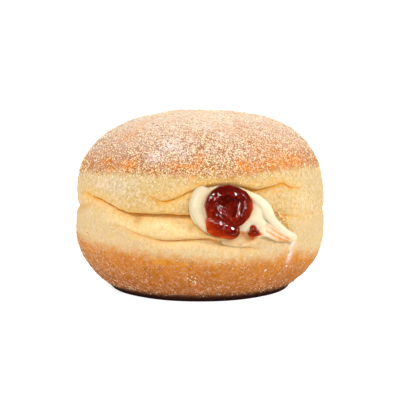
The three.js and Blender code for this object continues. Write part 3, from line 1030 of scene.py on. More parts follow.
    def with_base(self, read: Sources, above: Link) -> Link:
        """Browns the base, with an uneven edge.

        Args:
            read: What the material reads.
            above: The colour above the base.

        Returns:
            The colour.
        """
        down = add_node(
            read.tree, "ShaderNodeMath",
            {0: read.noise["wander"], 1: self.base_wander, 2: read.mark["base_crust"]},
            operation="MULTIPLY_ADD",
        )
        dark = add_node(
            read.tree, "ShaderNodeMath", {0: read.share["cloud"], 1: self.dark_share}, operation="MULTIPLY"
        )
        bloomed = add_node(
            read.tree, "ShaderNodeMath", {0: read.share["bloom"], 1: read.mark["bloom"]}, operation="MULTIPLY"
        )
        layers = ((dark, self.base_dark), (bloomed, self.base_bloom))
        return self.crust(read.tree, above, down, self.base_tones, self.base_span, self.base_edge, layers)

    def with_dome(self, read: Sources, below: Link) -> Link:
        """Browns the dome, toasted in patches near its edge.

        Args:
            read: What the material reads.
            below: The colour below the dome.

        Returns:
            The colour.
        """
        up = add_node(
            read.tree, "ShaderNodeMath",
            {0: read.noise["wander"], 1: self.dome_wander, 2: read.mark["top_crust"]},
            operation="MULTIPLY_ADD",
        )
        toasted = add_node(
            read.tree, "ShaderNodeMath",
            {0: read.share["cloud"], 1: read.mark["toast"], 2: read.mark["toast"]},
            operation="MULTIPLY_ADD", use_clamp=True,
        )
        pink = add_node(
            read.tree, "ShaderNodeMath", {0: read.share["pink"], 1: self.pink_share}, operation="MULTIPLY"
        )
        layers = ((pink, self.dome_pink), (toasted, self.toast))
        return self.crust(read.tree, below, up, self.dome_tones, self.dome_span, self.dome_edge, layers)

    def flecks(self, read: Sources, place: Link) -> tuple[Link, Any]:
        """Scatters flecks over the skin.

        Args:
            read: What the material reads.
            place: Where each point is.

        Returns:
            The share of a fleck at each point, and the lots that were drawn for it, as colour channels.
        """
        cells = add_node(
            read.tree, "ShaderNodeTexVoronoi", {"Vector": place, "Scale": 1 / (self.fleck_size * MM)}
        ).outputs
        lots = add_node(read.tree, "ShaderNodeSeparateColor", {"Color": cells["Color"]}).outputs
        thickness = add_node(
            read.tree, "ShaderNodeMath", {0: read.mark["sugar"], 1: self.fleck_share}, operation="MULTIPLY"
        )
        chosen = add_node(read.tree, "ShaderNodeMath", {0: lots["Red"], 1: thickness}, operation="LESS_THAN")
        middle = add_node(read.tree, "ShaderNodeMapRange", between(cells["Distance"], self.fleck_rim))
        return add_node(read.tree, "ShaderNodeMath", {0: chosen, 1: middle}, operation="MULTIPLY"), lots

    def with_flecks(self, read: Sources, fleck: Link, lots: Any, ground: Link) -> Link:
        """Dusts the skin with flecks of sugar, some with a small shadow.

        Args:
            read: What the material reads.
            fleck: The share of a fleck at each point.
            lots: The lots that were drawn for the flecks.
            ground: The skin's colour.

        Returns:
            The colour.
        """
        tree, mark = read.tree, read.mark
        soaked = add_node(
            tree, "ShaderNodeMapRange", between(mark["base_crust"], self.fleck_fade, self.fleck_cover)
        )
        cover = add_node(tree, "ShaderNodeMath", {0: fleck, 1: soaked}, operation="MULTIPLY")
        white = add_node(
            tree, "ShaderNodeMath", {0: lots["Green"], 1: mark["whiteness"], 2: mark["powder_and_highlight"]},
            operation="MULTIPLY_ADD", use_clamp=True,
        )
        sugar = add_node(
            tree, "ShaderNodeMix",
            {"Factor": white, "A": linear(self.fleck_gold), "B": linear(self.fleck_white)}, data_type="RGBA",
        )
        thick = add_node(
            tree, "ShaderNodeMapRange", between(mark["sugar"], self.shadow_from, (1.0, 1 - self.shadow_share))
        )
        shaded = add_node(tree, "ShaderNodeMath", {0: lots["Red"], 1: thick}, operation="GREATER_THAN")
        shadow = add_node(tree, "ShaderNodeMath", {0: shaded, 1: self.shadow_depth}, operation="MULTIPLY")
        return layered(tree, ground, ((shadow, self.fleck_shadow), (cover, sugar)))

    def mottled(self, read: Sources, lot: Link, ground: Link) -> Link:
        """Mottles the skin finely: duller and richer in its pores, less so where it is stretched or fried.

        Args:
            read: What the material reads.
            lot: A lot drawn for each fleck-sized place.
            ground: The skin's colour.

        Returns:
            The colour.
        """
        tree, mark = read.tree, read.mark
        speckle = add_node(tree, "ShaderNodeMapRange", between(lot, (0.0, 1.0), self.speckle))
        fried = add_node(tree, "ShaderNodeMapRange", between(mark["base_crust"], self.calm_edge))
        smooth = add_node(tree, "ShaderNodeMath", {0: mark["calm"], 1: fried}, operation="MAXIMUM")
        calm = add_node(tree, "ShaderNodeMath", {0: smooth, 1: self.calm_share}, operation="MULTIPLY")
        pores = add_node(
            tree, "ShaderNodeMix", {"Factor": calm, "A": read.noise["pores"], "B": sum(self.pore_span) / 2},
            data_type="FLOAT",
        )
        cloudy, rich = (
            add_node(tree, "ShaderNodeMapRange", between(pores, self.pore_span, span))
            for span in (self.pore_tone, self.pore_richness)
        )
        uneven = add_node(tree, "ShaderNodeMath", {0: speckle, 1: cloudy}, operation="MULTIPLY")
        # brighter beside the folds by the lit mark: painted light
        value = add_node(
            tree, "ShaderNodeMath", {0: uneven, 1: mark["lit"], 2: uneven}, operation="MULTIPLY_ADD"
        )
        return add_node(
            tree, "ShaderNodeHueSaturation", {"Color": ground, "Value": value, "Saturation": rich}
        )


@dataclass(frozen=True)
class CreamFinish:
    """Custard cream: smooth, dense and softly glossy, stained orange where jam has run into its grooves."""

    name: str = "custard_cream"
    tone: str = "#dccca6"
    bright: str = "#e4dac0"
    rich: str = "#cdc0a0"
    lip: str = "#d2ae78"
    stain: str = "#d07e30"
    cloud: float = 4.0  # mm between paler places
    ripple: float = 1.6  # mm between slight ripples
    ripple_height: float = 0.12  # mm
    ripple_strength: float = 0.4
    flesh: Flesh = Flesh(roughness=0.18, ior=1.45, glow=0.4, reach=(1.0, 0.7, 0.4), depth=1.5)

    def material(self) -> bpy.types.Material:
        """Builds the material.

        Returns:
            The material, which reads the cream's "rich", "lip" and "stain" marks.
        """
        material, tree = new_material(self.name)
        place = add_node(tree, "ShaderNodeTexCoord").outputs["Object"]
        cloud, ripple = (
            add_node(
                tree, "ShaderNodeTexNoise", {"Vector": place, "Scale": 1 / (size * MM), "Detail": detail}
            )
            for size, detail in ((self.cloud, 2.0), (self.ripple, 1.0))
        )
        marks = {
            name: add_node(tree, "ShaderNodeAttribute", attribute_name=name).outputs["Fac"]
            for name in ("rich", "lip", "stain")
        }
        colour = layered(tree, linear(self.tone), (
            (cloud, self.bright), (marks["rich"], self.rich), (marks["lip"], self.lip),
            (marks["stain"], self.stain),
        ))
        bump = add_node(
            tree, "ShaderNodeBump",
            {"Height": ripple, "Distance": self.ripple_height * MM, "Strength": self.ripple_strength},
        )
        self.flesh.shade(tree, colour, bump)
        return material


@dataclass(frozen=True)
class JamFinish:
    """Cooked fruit jam: wet and clear, dark red where it is thick and orange-red where it is thin.

    Its bits of fruit are drawn at 0.9 mm. Finer ones would only dull the glints on its syrup.
    """

    name: str = "fruit_jam"
    thick: str = "#5c0a04"
    # painted shade where the upper lip overhangs the jam and in the swirl's hollows
    jam_shade: str = "#420502"
    thin: str = "#982200"
    pulp: str = "#98240e"
    rim: str = "#b8460a"
    cloud: float = 1.1  # mm between paler threads of pulp
    cloud_span: Span = (0.5, 0.78)
    ripple: float = 1.4  # mm between slight ripples
    ripple_height: float = 0.12  # mm
    ripple_strength: float = 0.5
    bits: float = 0.9  # mm between bits of fruit
    bits_height: float = 0.4  # mm
    flesh: Flesh = Flesh(roughness=0.16, ior=1.47, glow=0.15, reach=(1.0, 0.25, 0.1), depth=1.0, mirror=0.2)
    syrup_roughness: float = 0.05
    syrup_ior: float = 1.5

    def material(self) -> bpy.types.Material:
        """Builds the material.

        Returns:
            The material, which reads the jam's "jam_shade" (painted shade), "thin", "rim" and "pulpy" marks.
        """
        material, tree = new_material(self.name)
        place = add_node(tree, "ShaderNodeTexCoord").outputs["Object"]
        cloud, ripple, bits = (
            add_node(
                tree, "ShaderNodeTexNoise", {"Vector": place, "Scale": 1 / (size * MM), "Detail": detail}
            )
            for size, detail in ((self.cloud, 3.0), (self.ripple, 1.0), (self.bits, 0.0))
        )
        marks = {
            name: add_node(tree, "ShaderNodeAttribute", attribute_name=name).outputs["Fac"]
            for name in ("jam_shade", "thin", "rim", "pulpy")
        }
        threads = add_node(tree, "ShaderNodeMapRange", between(cloud, self.cloud_span))
        colour = layered(tree, linear(self.thick), (
            (threads, self.pulp), (marks["jam_shade"], self.jam_shade), (marks["thin"], self.thin),
            (marks["rim"], self.rim),
        ))
        wavy = add_node(
            tree, "ShaderNodeBump",
            {"Height": ripple, "Distance": self.ripple_height * MM, "Strength": self.ripple_strength},
        )
        bump = add_node(
            tree, "ShaderNodeBump",
            {"Height": bits, "Distance": self.bits_height * MM, "Strength": marks["pulpy"], "Normal": wavy},
        )
        self.flesh.shade(
            tree, colour, bump,
            Coat_Weight=1.0, Coat_Roughness=self.syrup_roughness, Coat_IOR=self.syrup_ior, Coat_Normal=bump,
        )
        return material


@dataclass(frozen=True)
class GrainFinish:
    """Small scattered bits, each of its own tone: sugar crystals or crumbs of dough."""

    name: str
    light: str
    dark: str
    roughness: float
    ior: float

    def material(self) -> bpy.types.Material:
        """Builds the material.

        Returns:
            The material, which reads each grain's "tone" and the "whiteness" of the skin under it.
        """
        material, tree = new_material(self.name)
        tone, whiteness = (
            add_node(tree, "ShaderNodeAttribute", attribute_name=name).outputs["Fac"]
            for name in ("tone", "whiteness")
        )
        share = add_node(tree, "ShaderNodeMath", {0: tone, 1: whiteness}, operation="MULTIPLY")
        colour = add_node(
            tree, "ShaderNodeMix", {"Factor": share, "A": linear(self.dark), "B": linear(self.light)},
            data_type="RGBA",
        )
        shader = add_node(
            tree, "ShaderNodeBsdfPrincipled",
            {"Base Color": colour, "Roughness": self.roughness, "IOR": self.ior},
        )
        add_node(tree, "ShaderNodeOutputMaterial", {"Surface": shader})
        return material


# Dry sugar crystals: clear to white, and sharp enough to glint.
SUGAR = GrainFinish("caster_sugar", light="#e8dac6", dark="#ecd2a0", roughness=0.3, ior=1.54)
# Crystals soaked with fat: amber and smoother.
AMBER_SUGAR = GrainFinish("fat_soaked_sugar", light="#e0bb94", dark="#cc9460", roughness=0.25, ior=1.5)
# Dry crumbs of torn dough: matte and golden, each of its own tone.
DRY_CRUMB = GrainFinish("dry_dough_crumb", light="#ecd69c", dark="#d2a050", roughness=0.85, ior=1.4)


# ---------------------------------------------------------------- the bun


@dataclass(frozen=True)
class Corners:
    """The corners of the bun's skin, with what their marks are worked out from."""

    azimuth: np.ndarray
    z: np.ndarray  # heights on the smooth bun
    grid: np.ndarray  # places on the finished bun
    along: np.ndarray  # distances along the skin from the mouth
    top: np.ndarray  # heights above the edge of the dome's crust
    base: np.ndarray  # depths below the edge of the base's crust


@dataclass(frozen=True)
class Bun:
    """The dough, as one closed skin whose rows follow the folds."""

    skin: Skin
    columns: int = 404
    column_centre: float = 4.0  # azimuth where the columns stand closest
    column_spread: float = 0.34  # how much wider apart they stand at the back
    rim_rows: int = 5
    under_rows: int = 56
    lower_rows: int = 28
    upper_rows: int = 30
    dome_rows: int = 118
    fold_crowd: float = 0.8  # how much closer the rows lie at a fold
    lumps: tuple[Grain, ...] = (Grain(6.5, 0.22, 11), Grain(2.4, 0.18, 12), Grain(1.1, 0.11, 13))
    top_edge: Knots = (
        (-130, 40.0), (-77, 41.0), (-52, 42.3), (-33, 43.1), (-18, 42.9), (0, 42.4), (14, 42.2), (28, 42.8),
        (47, 43.9), (78, 43.0), (125, 41.0), (175, 40.4),
    )
    base_edge: Knots = (
        (-120, 18.6), (-78, 20.6), (-66, 20.2), (-55, 18.8), (-41, 18.6), (-27, 17.7), (-13, 16.8), (0, 15.9),
        (18, 15.4), (34, 15.4), (47, 16.8), (62, 14.9), (78, 13.9), (125, 15.6), (175, 17.4),
    )
    crack: Mound = Mound(0.3, 17.4, 0.5, 4.6, -0.3)
    torn: tuple[Mound, ...] = mounds(
        (13.4, 30.3, 1.0, 0.8, 0.9), (14.8, 28.8, 1.5, 0.7, 0.8), (17.0, 27.4, 1.5, 0.8, 0.7),
        (19.2, 25.4, 1.4, 1.0, 0.7), (20.8, 23.6, 1.0, 0.8, 0.6), (12.6, 40.6, 1.6, 0.8, 0.8),
        (15.4, 39.9, 1.4, 0.7, 0.6),
    )
    crumbly: tuple[Mound, ...] = mounds(  # where crumbs lie
        (14.4, 29.3, 2.0, 1.1, 1.0), (17.2, 27.3, 2.0, 1.0, 1.0), (19.6, 25.2, 1.4, 1.0, 0.8),
    )
    cheek: Mound = Mound(28.0, 33.4, 7.0, 6.0, 0.6)  # fresh dough beside the jam
    stains: tuple[Mound, ...] = mounds((-34.6, 27.6, 1.5, 1.3, 0.7), (-16.2, 26.0, 1.3, 1.2, 0.55))
    browned: tuple[Mound, ...] = mounds(  # golden wrinkles along the crusts' edges, and painted shade on the lip over the mouth
        (-26.4, 14.6, 1.8, 0.8, 0.5), (-19.1, 14.0, 1.4, 0.7, 0.5), (-12.6, 40.4, 2.8, 0.8, 0.4),
        (-8.0, 41.0, 3.0, 0.8, 0.4), (-1.0, 41.4, 4.0, 0.7, 0.25), (5.0, 40.2, 3.0, 0.8, 0.25),
        (-16.0, 42.6, 2.0, 0.6, 0.3),
    )
    # whiter spots where the dome's highlight falls, and one on the waist's left: painted highlight, drawn as
    # a dusting
    painted_highlight_spots: tuple[Mound, ...] = mounds(
        (-25.6, 52.4, 3.4, 1.8, 0.9), (-30.6, 48.6, 2.8, 2.0, 0.75), (-20.6, 50.4, 3.2, 1.8, 0.5),
        (-45.0, 39.0, 9.0, 2.6, 0.3),
    )
    toasted: tuple[Mound, ...] = mounds(
        (-52.0, 46.3, 3.0, 1.2, 0.8), (-47.0, 43.6, 2.8, 1.4, 0.8), (-40.5, 45.7, 3.4, 1.4, 0.9),
        (-13.4, 48.6, 2.2, 1.2, 0.7), (-20.0, 46.2, 5.0, 1.4, 0.35), (-50.0, 55.0, 6.0, 2.4, 0.3),
        (4.0, 45.4, 5.0, 1.8, 0.6), (17.0, 46.2, 7.0, 2.2, 0.8), (28.0, 46.4, 5.0, 2.0, 0.6),
        (13.0, 51.4, 8.0, 3.0, 0.3),
    )
    streak: tuple[Mound, ...] = mounds((21.4, 19.4, 1.5, 1.6, 1.0), (20.6, 15.0, 1.1, 3.0, 1.0))
    floor_gap: Span = (1.6, 2.8)  # heights over which the dusting begins
    grain_gap: Span = (2.0, 3.2)  # heights over which whole grains begin
    rim_sugar: Span = (4.0, 7.5)  # heights over which the sugar round the foot ends

    def spaced(self, count: int, crowd_start: float, crowd_end: float) -> np.ndarray:
        """Gives one band's row places from 0 to 1, closer at an end whose crowd value is higher."""
        share = np.arange(count) / count
        wave = np.sin(np.pi * share) / np.pi
        return share - crowd_start * wave * (1 - share) + crowd_end * wave * share

    def smooth_grid(self) -> tuple[np.ndarray, np.ndarray, np.ndarray]:
        """Lays the rows and columns on the smooth bun.

        Returns:
            The azimuth, radius and height of each corner, row by row.
        """
        length, radius, z = self.skin.meridian()
        x = 2 * np.arange(self.columns) / self.columns - 1
        bent = (1 - self.column_spread) * x + self.column_spread * x**3
        azimuth = self.column_centre + 180 * bent
        rim_end = np.interp(self.skin.foot_edge_height, z, length)
        ends = [np.zeros_like(azimuth), np.full_like(azimuth, rim_end)]
        for fold in (self.skin.lower_fold, self.skin.main_fold, self.skin.upper_fold):
            ends.append(np.interp(round_curve(fold.height, azimuth), z, length))
        ends.append(np.full_like(azimuth, length[-1]))
        crowds = (0, 0, self.fold_crowd, self.fold_crowd, self.fold_crowd, 0)
        counts = (self.rim_rows, self.under_rows, self.lower_rows, self.upper_rows, self.dome_rows)
        gone = []
        for band, count in enumerate(counts):
            share = self.spaced(count, crowds[band], crowds[band + 1])[:, None]
            gone.append(ends[band] + (ends[band + 1] - ends[band]) * share)
        gone = np.concatenate(gone)
        azimuth = np.broadcast_to(azimuth, gone.shape)
        return azimuth, np.interp(gone, length, radius), np.interp(gone, length, z)

    def surface(self) -> Surface:
        """Builds the skin with its relief and its marks.

        Returns:
            The closed surface.
        """
        azimuth, radius, z = self.smooth_grid()
        grid = self.skin.place(azimuth, radius, z)
        across = np.roll(grid, -1, 1) - np.roll(grid, 1, 1)
        normal = np.cross(across, np.gradient(grid, axis=0))
        normal /= np.maximum(np.linalg.norm(normal, axis=-1, keepdims=True), TINY)
        free = smooth_step(0.3, self.skin.steady_height, z)
        rough = sum(grain.height * relief(grid, grain.size, grain.seed) for grain in self.lumps)
        rough = rough + self.crack.height(self.skin.along(azimuth), z)
        grid = grid + normal * (rough * free)[..., None]
        crown_height = self.skin.dome_start + self.skin.dome_rise
        crown = self.skin.place(np.zeros(1), np.zeros(1), np.array([crown_height]))
        points = np.concatenate([[[0, 0, 0]], grid.reshape(-1, 3), crown])
        marks = {}
        for name, values in self.marks(azimuth, z, grid).items():
            marks[name] = np.concatenate([[values[0].mean()], values.ravel(), [values[-1].mean()]])
        return Surface(points, self.faces(*z.shape), marks)

    def faces(self, rows: int, columns: int) -> list:
        """Joins the corners, with a fan round the middle of the foot and one round the crown.

        Args:
            rows: How many rows of corners there are.
            columns: How many corners a row has.

        Returns:
            The faces. Point 0 is the middle of the foot, the rows follow, and the last point is the crown.
        """
        column = np.arange(columns)
        beside = (column + 1) % columns
        faces = np.stack([np.zeros(columns, int), 1 + beside, 1 + column], -1).tolist()
        for row in range(rows - 1):
            low, high = 1 + row * columns, 1 + (row + 1) * columns
            faces += np.stack([low + column, low + beside, high + beside, high + column], -1).tolist()
        last, crown = 1 + (rows - 1) * columns, 1 + rows * columns
        return faces + np.stack([last + column, last + beside, np.full(columns, crown)], -1).tolist()

    def marks(self, azimuth: np.ndarray, z: np.ndarray, grid: np.ndarray) -> dict[str, np.ndarray]:
        """Works out what the material and the sugar read.

        Args:
            azimuth: Azimuth of each corner.
            z: Height of each corner on the smooth bun.
            grid: The finished corners.

        Returns:
            The marks by name. top_crust and base_crust are mm past the crusts' edges, and the rest run from 0
            to 1.
        """
        height = grid[..., 2]
        top = height - round_curve(self.top_edge, azimuth)
        base = round_curve(self.base_edge, azimuth) - height
        at = Corners(azimuth, z, grid, self.skin.along(azimuth), top, base)
        return {"top_crust": top, "base_crust": base, **self.fold_marks(at), **self.sugar_marks(at)}

    def fold_marks(self, at: Corners) -> dict[str, np.ndarray]:
        """Works out the folds' painted shade, painted glow and painted light, and how fresh and tanned the
        waist is.

        Args:
            at: The corners.

        Returns:
            The marks by name.
        """
        skin, azimuth, z = self.skin, at.azimuth, at.z
        # painted shade in the fold bottoms and the crack, with the golden tears, which are the dough's own
        # colour
        browning_and_crease_shade = sum(fold.line_mark(azimuth, z, 0.5, 0.4) for fold in skin.folds)
        browning_and_crease_shade = browning_and_crease_shade + 1.2 * np.maximum(0, -self.crack.height(at.along, z))
        ragged = smooth_step(-0.2, 0.4, relief(at.grid, 1.3, 26))
        browning_and_crease_shade = browning_and_crease_shade + heights(self.torn, at.along, z) * ragged
        browning_and_crease_shade = browning_and_crease_shade + heights(self.browned, at.along, at.grid[..., 2])
        # painted shade round the mouth, where the cream meets the dough
        browning_and_crease_shade = browning_and_crease_shade + 0.7 * bell(skin.from_mouth(at.along, z), 0.98, 0.13)
        # painted glow of light through the dough round the folds
        glow = sum(fold.line_mark(azimuth, z, 3.0, 1.4) for fold in skin.folds)
        # painted light: the dough just beside the main and lower folds is brightened
        lit = 0.25 * skin.main_fold.line_mark(azimuth, z, 0.6, 1.6)
        lit = lit + 0.7 * skin.lower_fold.line_mark(azimuth, z, 0.8, 1.2)
        above_lower = z - round_curve(skin.lower_fold.height, azimuth)
        below_main = round_curve(skin.main_fold.height, azimuth) - z
        front = smooth_step(-52, -38, azimuth) * (1 - smooth_step(14, 22, azimuth))
        fresh = smooth_step(0, 1.5, above_lower) * smooth_step(0, 1.5, below_main) * front
        fresh = np.maximum(fresh, self.cheek.height(at.along, z))
        return {
            "browning_and_crease_shade": np.minimum(1, browning_and_crease_shade),
            "glow": 0.7 * np.minimum(1, glow),
            "fresh": fresh,
            "lit": lit,
            "calm": np.maximum(fresh, smooth_step(0, 3, below_main)),
            "tan": 0.75 * smooth_step(0, 2, -below_main) * bell(azimuth, -2, 46, 4),
            "stain": heights(self.stains, at.along, z),
            # painted shade of the underside, darkest where the bun meets the table
            "foot": 1 - smooth_step(1.2, 4.0, z),
        }

    def sugar_marks(self, at: Corners) -> dict[str, np.ndarray]:
        """Works out how toasted the crusts are and how thick the sugar lies on them.

        The sugar lies in clusters, thickest at the front of the dome, and spills a little over its edge.

        Args:
            at: The corners.

        Returns:
            The marks by name.
        """
        azimuth, z, grid, top, base = at.azimuth, at.z, at.grid, at.top, at.base
        height = grid[..., 2]
        streak = np.minimum(1, heights(self.streak, at.along, z))
        streak *= 0.75 + 0.4 * relief(grid, 1.6, 27)
        # painted highlight spots, drawn as a whiter dusting
        powder_and_highlight = heights(self.painted_highlight_spots, at.along, height)
        toast = heights(self.toasted, at.along, height)
        toast = toast + 0.45 * bell(top, 3.5, 3.2) * smooth_step(0.0, 0.5, relief(grid, 4.5, 24))
        cluster = 0.5 + 0.5 * relief(grid, 6.0, 21)
        fine_cluster = smooth_step(0.1, 0.6, relief(grid, 3.2, 22))
        edge = top + 1.8 * relief(grid, 2.6, 23)
        on_dome = smooth_step(-0.8, 1.2, edge)
        thickest = Mound(2, 7, 42, 9, 1).height(azimuth, top)
        dome = on_dome * (0.22 + 0.26 * cluster + 0.6 * thickest)
        dome *= 1 - 0.3 * smooth_step(10, 17, top)
        dome = np.minimum(1, dome) * (1 - 0.6 * np.minimum(1, toast)) * (1 - 0.5 * np.minimum(1, powder_and_highlight))
        spill = 0.2 * np.exp(np.minimum(0, edge) / 2.4) * (1 - on_dome)
        spill *= 0.5 + 1.3 * bell(azimuth, -34, 26)
        left_low = smooth_step(-30, -60, azimuth) * smooth_step(-130, -100, azimuth)
        base_sugar = smooth_step(-3, 4, base) * (0.08 + 0.42 * fine_cluster + 0.2 * left_low)
        rim = (1 - smooth_step(*self.rim_sugar, z)) * (0.22 + 0.7 * fine_cluster)
        sugar = np.maximum.reduce([dome + spill, base_sugar, rim, 0.3 * streak, np.full_like(dome, 0.05)])
        bright_cluster = smooth_step(0.42, 0.62, relief(grid, 4.6, 25)) * smooth_step(1, 6, base)
        few_high = 1 - 0.7 * smooth_step(9, 16, top)
        loose = np.maximum(few_high * (dome + spill), 0.2 * bright_cluster)
        off_floor = smooth_step(*self.grain_gap, z)
        bloom = 0.3 + 0.4 * fine_cluster + 0.4 * (1 - smooth_step(4, 12, z)) + 0.6 * left_low
        return {
            "powder_and_highlight": np.minimum(1, powder_and_highlight + streak),
            "toast": np.minimum(1, toast),
            "bloom": np.clip(bloom, 0, 0.9),
            "sugar": sugar * smooth_step(*self.floor_gap, z),
            "loose_sugar": loose * off_floor,
            "soaked_sugar": np.maximum(base_sugar, rim) * off_floor,
            "crumb": heights(self.crumbly, at.along, z),
            "whiteness": 1 - 0.9 * bell(top, 1.0, 4.8) + powder_and_highlight,
        }

    def build(self) -> bpy.types.Object:
        """Makes the bun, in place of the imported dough."""
        piece = self.surface().mesh_object("bun")
        finish_piece(piece, DoughFinish().material())
        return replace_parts(piece, "dough")


# ---------------------------------------------------------------- cream and jam


def joined_core(shown: bpy.types.Object, core: Core) -> None:
    """Joins a filling's hidden core to the part that shows.

    Args:
        shown: The part that shows. Its mesh is changed.
        core: The core.
    """
    inner = core.surface().mesh_object(f"{shown.name}_core")
    modifier = shown.modifiers.new("core", "BOOLEAN")
    modifier.operation = "UNION"
    modifier.solver = "MANIFOLD"
    modifier.object = inner
    shown.data = evaluated_mesh(shown)
    bpy.data.objects.remove(inner)


@dataclass(frozen=True)
class Cream:
    """The cream that has been pushed out of the split, with its tail."""

    skin: Skin
    body: Filling = Filling(
        blobs=blobs(
            ((-12.4, 33.2, 0.0), (4.3, 6.6, 2.6)), ((-5.2, 31.5, -2.0), (11.4, 9.2, 4.2)),
            ((4.0, 30.2, -0.3), (6.8, 7.0, 2.3)), ((0.8, 21.7, -0.7), (7.0, 2.3, 1.5)),
            ((6.6, 25.2, -0.6), (5.0, 3.0, 1.8)), ((-4.0, 36.9, -1.6), (9.0, 2.2, 1.9)),
            ((5.0, 31.8, 0.9), (3.0, 4.4, 1.6)),
        ),
        ropes=ropes(
            (
                (-12.4, 38.4, 0.6, 1.2), (-14.0, 36.0, 1.3, 1.5), (-14.4, 33.4, 1.6, 1.6),
                (-14.0, 30.8, 1.6, 1.5), (-12.8, 28.2, 1.5, 1.3), (-11.2, 26.0, 1.1, 1.0),
            ),
            (
                (2.0, 36.9, 1.4, 1.3), (5.1, 35.5, 1.9, 1.5), (7.6, 33.4, 2.1, 1.6), (9.1, 31.3, 2.1, 1.6),
                (10.0, 29.4, 2.0, 1.5), (11.6, 27.6, 1.8, 1.4), (14.2, 25.3, 1.5, 1.3),
                (17.2, 23.2, 1.2, 1.3), (20.6, 21.6, 1.0, 1.3),
            ),
            (
                (3.0, 29.6, 0.8, 1.3), (6.8, 28.0, 1.0, 1.2), (10.0, 25.8, 1.0, 1.1), (13.4, 23.6, 0.8, 1.0),
                (17.0, 21.4, 0.7, 0.9), (19.8, 20.6, 0.6, 0.6),
            ),
            ((7.0, 25.0, 0.8, 1.2), (10.4, 23.4, 0.7, 1.1), (13.6, 21.7, 0.6, 0.9), (15.6, 21.2, 0.4, 0.6)),
        ),
        hollows=ropes(
            (
                (9.5, 29.0, 3.6, 0.2), (11.1, 26.9, 3.3, 0.25), (13.7, 24.6, 2.9, 0.3),
                (16.7, 22.6, 2.6, 0.3), (19.8, 21.2, 2.3, 0.25),
            ),
        ),
        grains=(Grain(3.4, 0.14, 31), Grain(1.5, 0.06, 32)),
        pulp=Grain(1.2, 0.4, 34),
        pulp_spots=mounds((0.8, 20.2, 6.5, 1.8, 0.9), (19.6, 21.4, 2.4, 1.2, 0.6)),
        blend=0.7,
    )
    core: Core = Core(reach=19, up=30.4, half_length=24, half_width=13, half_height=9)
    stain_paths: tuple[Rope, ...] = ropes(
        ((9.0, 24.6, 0.0, 0.05), (12.0, 22.9, 0.0, 0.2), (14.8, 21.4, 0.0, 0.35), (17.6, 20.6, 0.0, 0.15)),
        ((8.6, 27.0, 0.0, 0.02), (11.2, 25.0, 0.0, 0.06), (14.6, 22.9, 0.0, 0.12), (18.0, 21.3, 0.0, 0.1)),
        (
            (-1.0, 24.6, 0.0, 0.3), (1.2, 24.4, 0.0, 0.4), (2.6, 24.0, 0.0, 0.7), (3.4, 23.0, 0.0, 0.7),
            (5.8, 22.7, 0.0, 0.2),
        ),
        ((4.6, 24.2, 0.0, 0.9), (6.4, 23.8, 0.0, 0.6), (7.4, 23.4, 0.0, 0.1)),
        ((3.6, 23.4, 0.0, 0.7), (3.4, 22.4, 0.0, 0.3)),
    )
    stain_reach: float = 0.3
    stain_strength: float = 0.95
    beside_jam: Span = (0.5, 0.7)  # strength of the stain beside the jam, and mm over which it fades
    smears: tuple[Mound, ...] = mounds(
        (1.4, 23.9, 1.7, 1.0, 1.3), (3.8, 22.1, 1.8, 0.9, 1.0), (-0.2, 27.2, 0.5, 1.6, 0.35),
        (6.0, 24.6, 0.9, 1.2, 0.5),
    )
    lip_edge: Span = (22.4, 24.0)  # heights over which the darker lower lip ends
    lip_start: float = 4.0  # along, from where on it ends lower
    lip_fall: float = 0.16  # for each mm from there

    def marks(self, places: np.ndarray, jam: Filling) -> dict[str, np.ndarray]:
        """Works out where the cream is stained, rich and dark.

        Args:
            places: Places on the cream along, up and out.
            jam: The jam that lies on it.

        Returns:
            The marks by name, from 0 to 1.
        """
        along, up, _ = places.T
        flat = places * [1, 1, 0]
        stain = np.zeros(len(places))
        for path in self.stain_paths:
            off = np.maximum(0, path.distance(flat))
            stain = np.maximum(stain, self.stain_strength * np.exp(-off / self.stain_reach))
        stain = np.maximum(stain, np.minimum(1, heights(self.smears, along, up)))
        stain *= 0.7 + 0.3 * smooth_step(-0.35, 0.4, relief(places, 1.5, 33))
        strength, reach = self.beside_jam
        beside_jam = strength * np.exp(-np.maximum(0, jam.distance(places)) / reach)
        raised = up + self.lip_fall * np.maximum(0, along - self.lip_start)
        below = 1 - smooth_step(*self.lip_edge, raised)
        return {
            "stain": np.maximum(stain, beside_jam),
            "rich": 1 - smooth_step(-8, 4, along),
            "lip": below * (0.8 + 0.35 * relief(places, 1.3, 35)),
        }

    def build(self, jam: Filling) -> bpy.types.Object:
        """Makes the cream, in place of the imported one.

        Args:
            jam: The jam that lies on it, which stains it.

        Returns:
            The piece.
        """
        surface = self.body.surface()
        surface.marks = self.marks(surface.points, jam)
        surface.points = self.skin.wrap(surface.points)
        piece = surface.mesh_object("cream_tongue")
        joined_core(piece, self.core)
        finish_piece(piece, CreamFinish().material())
        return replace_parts(piece, "cream")


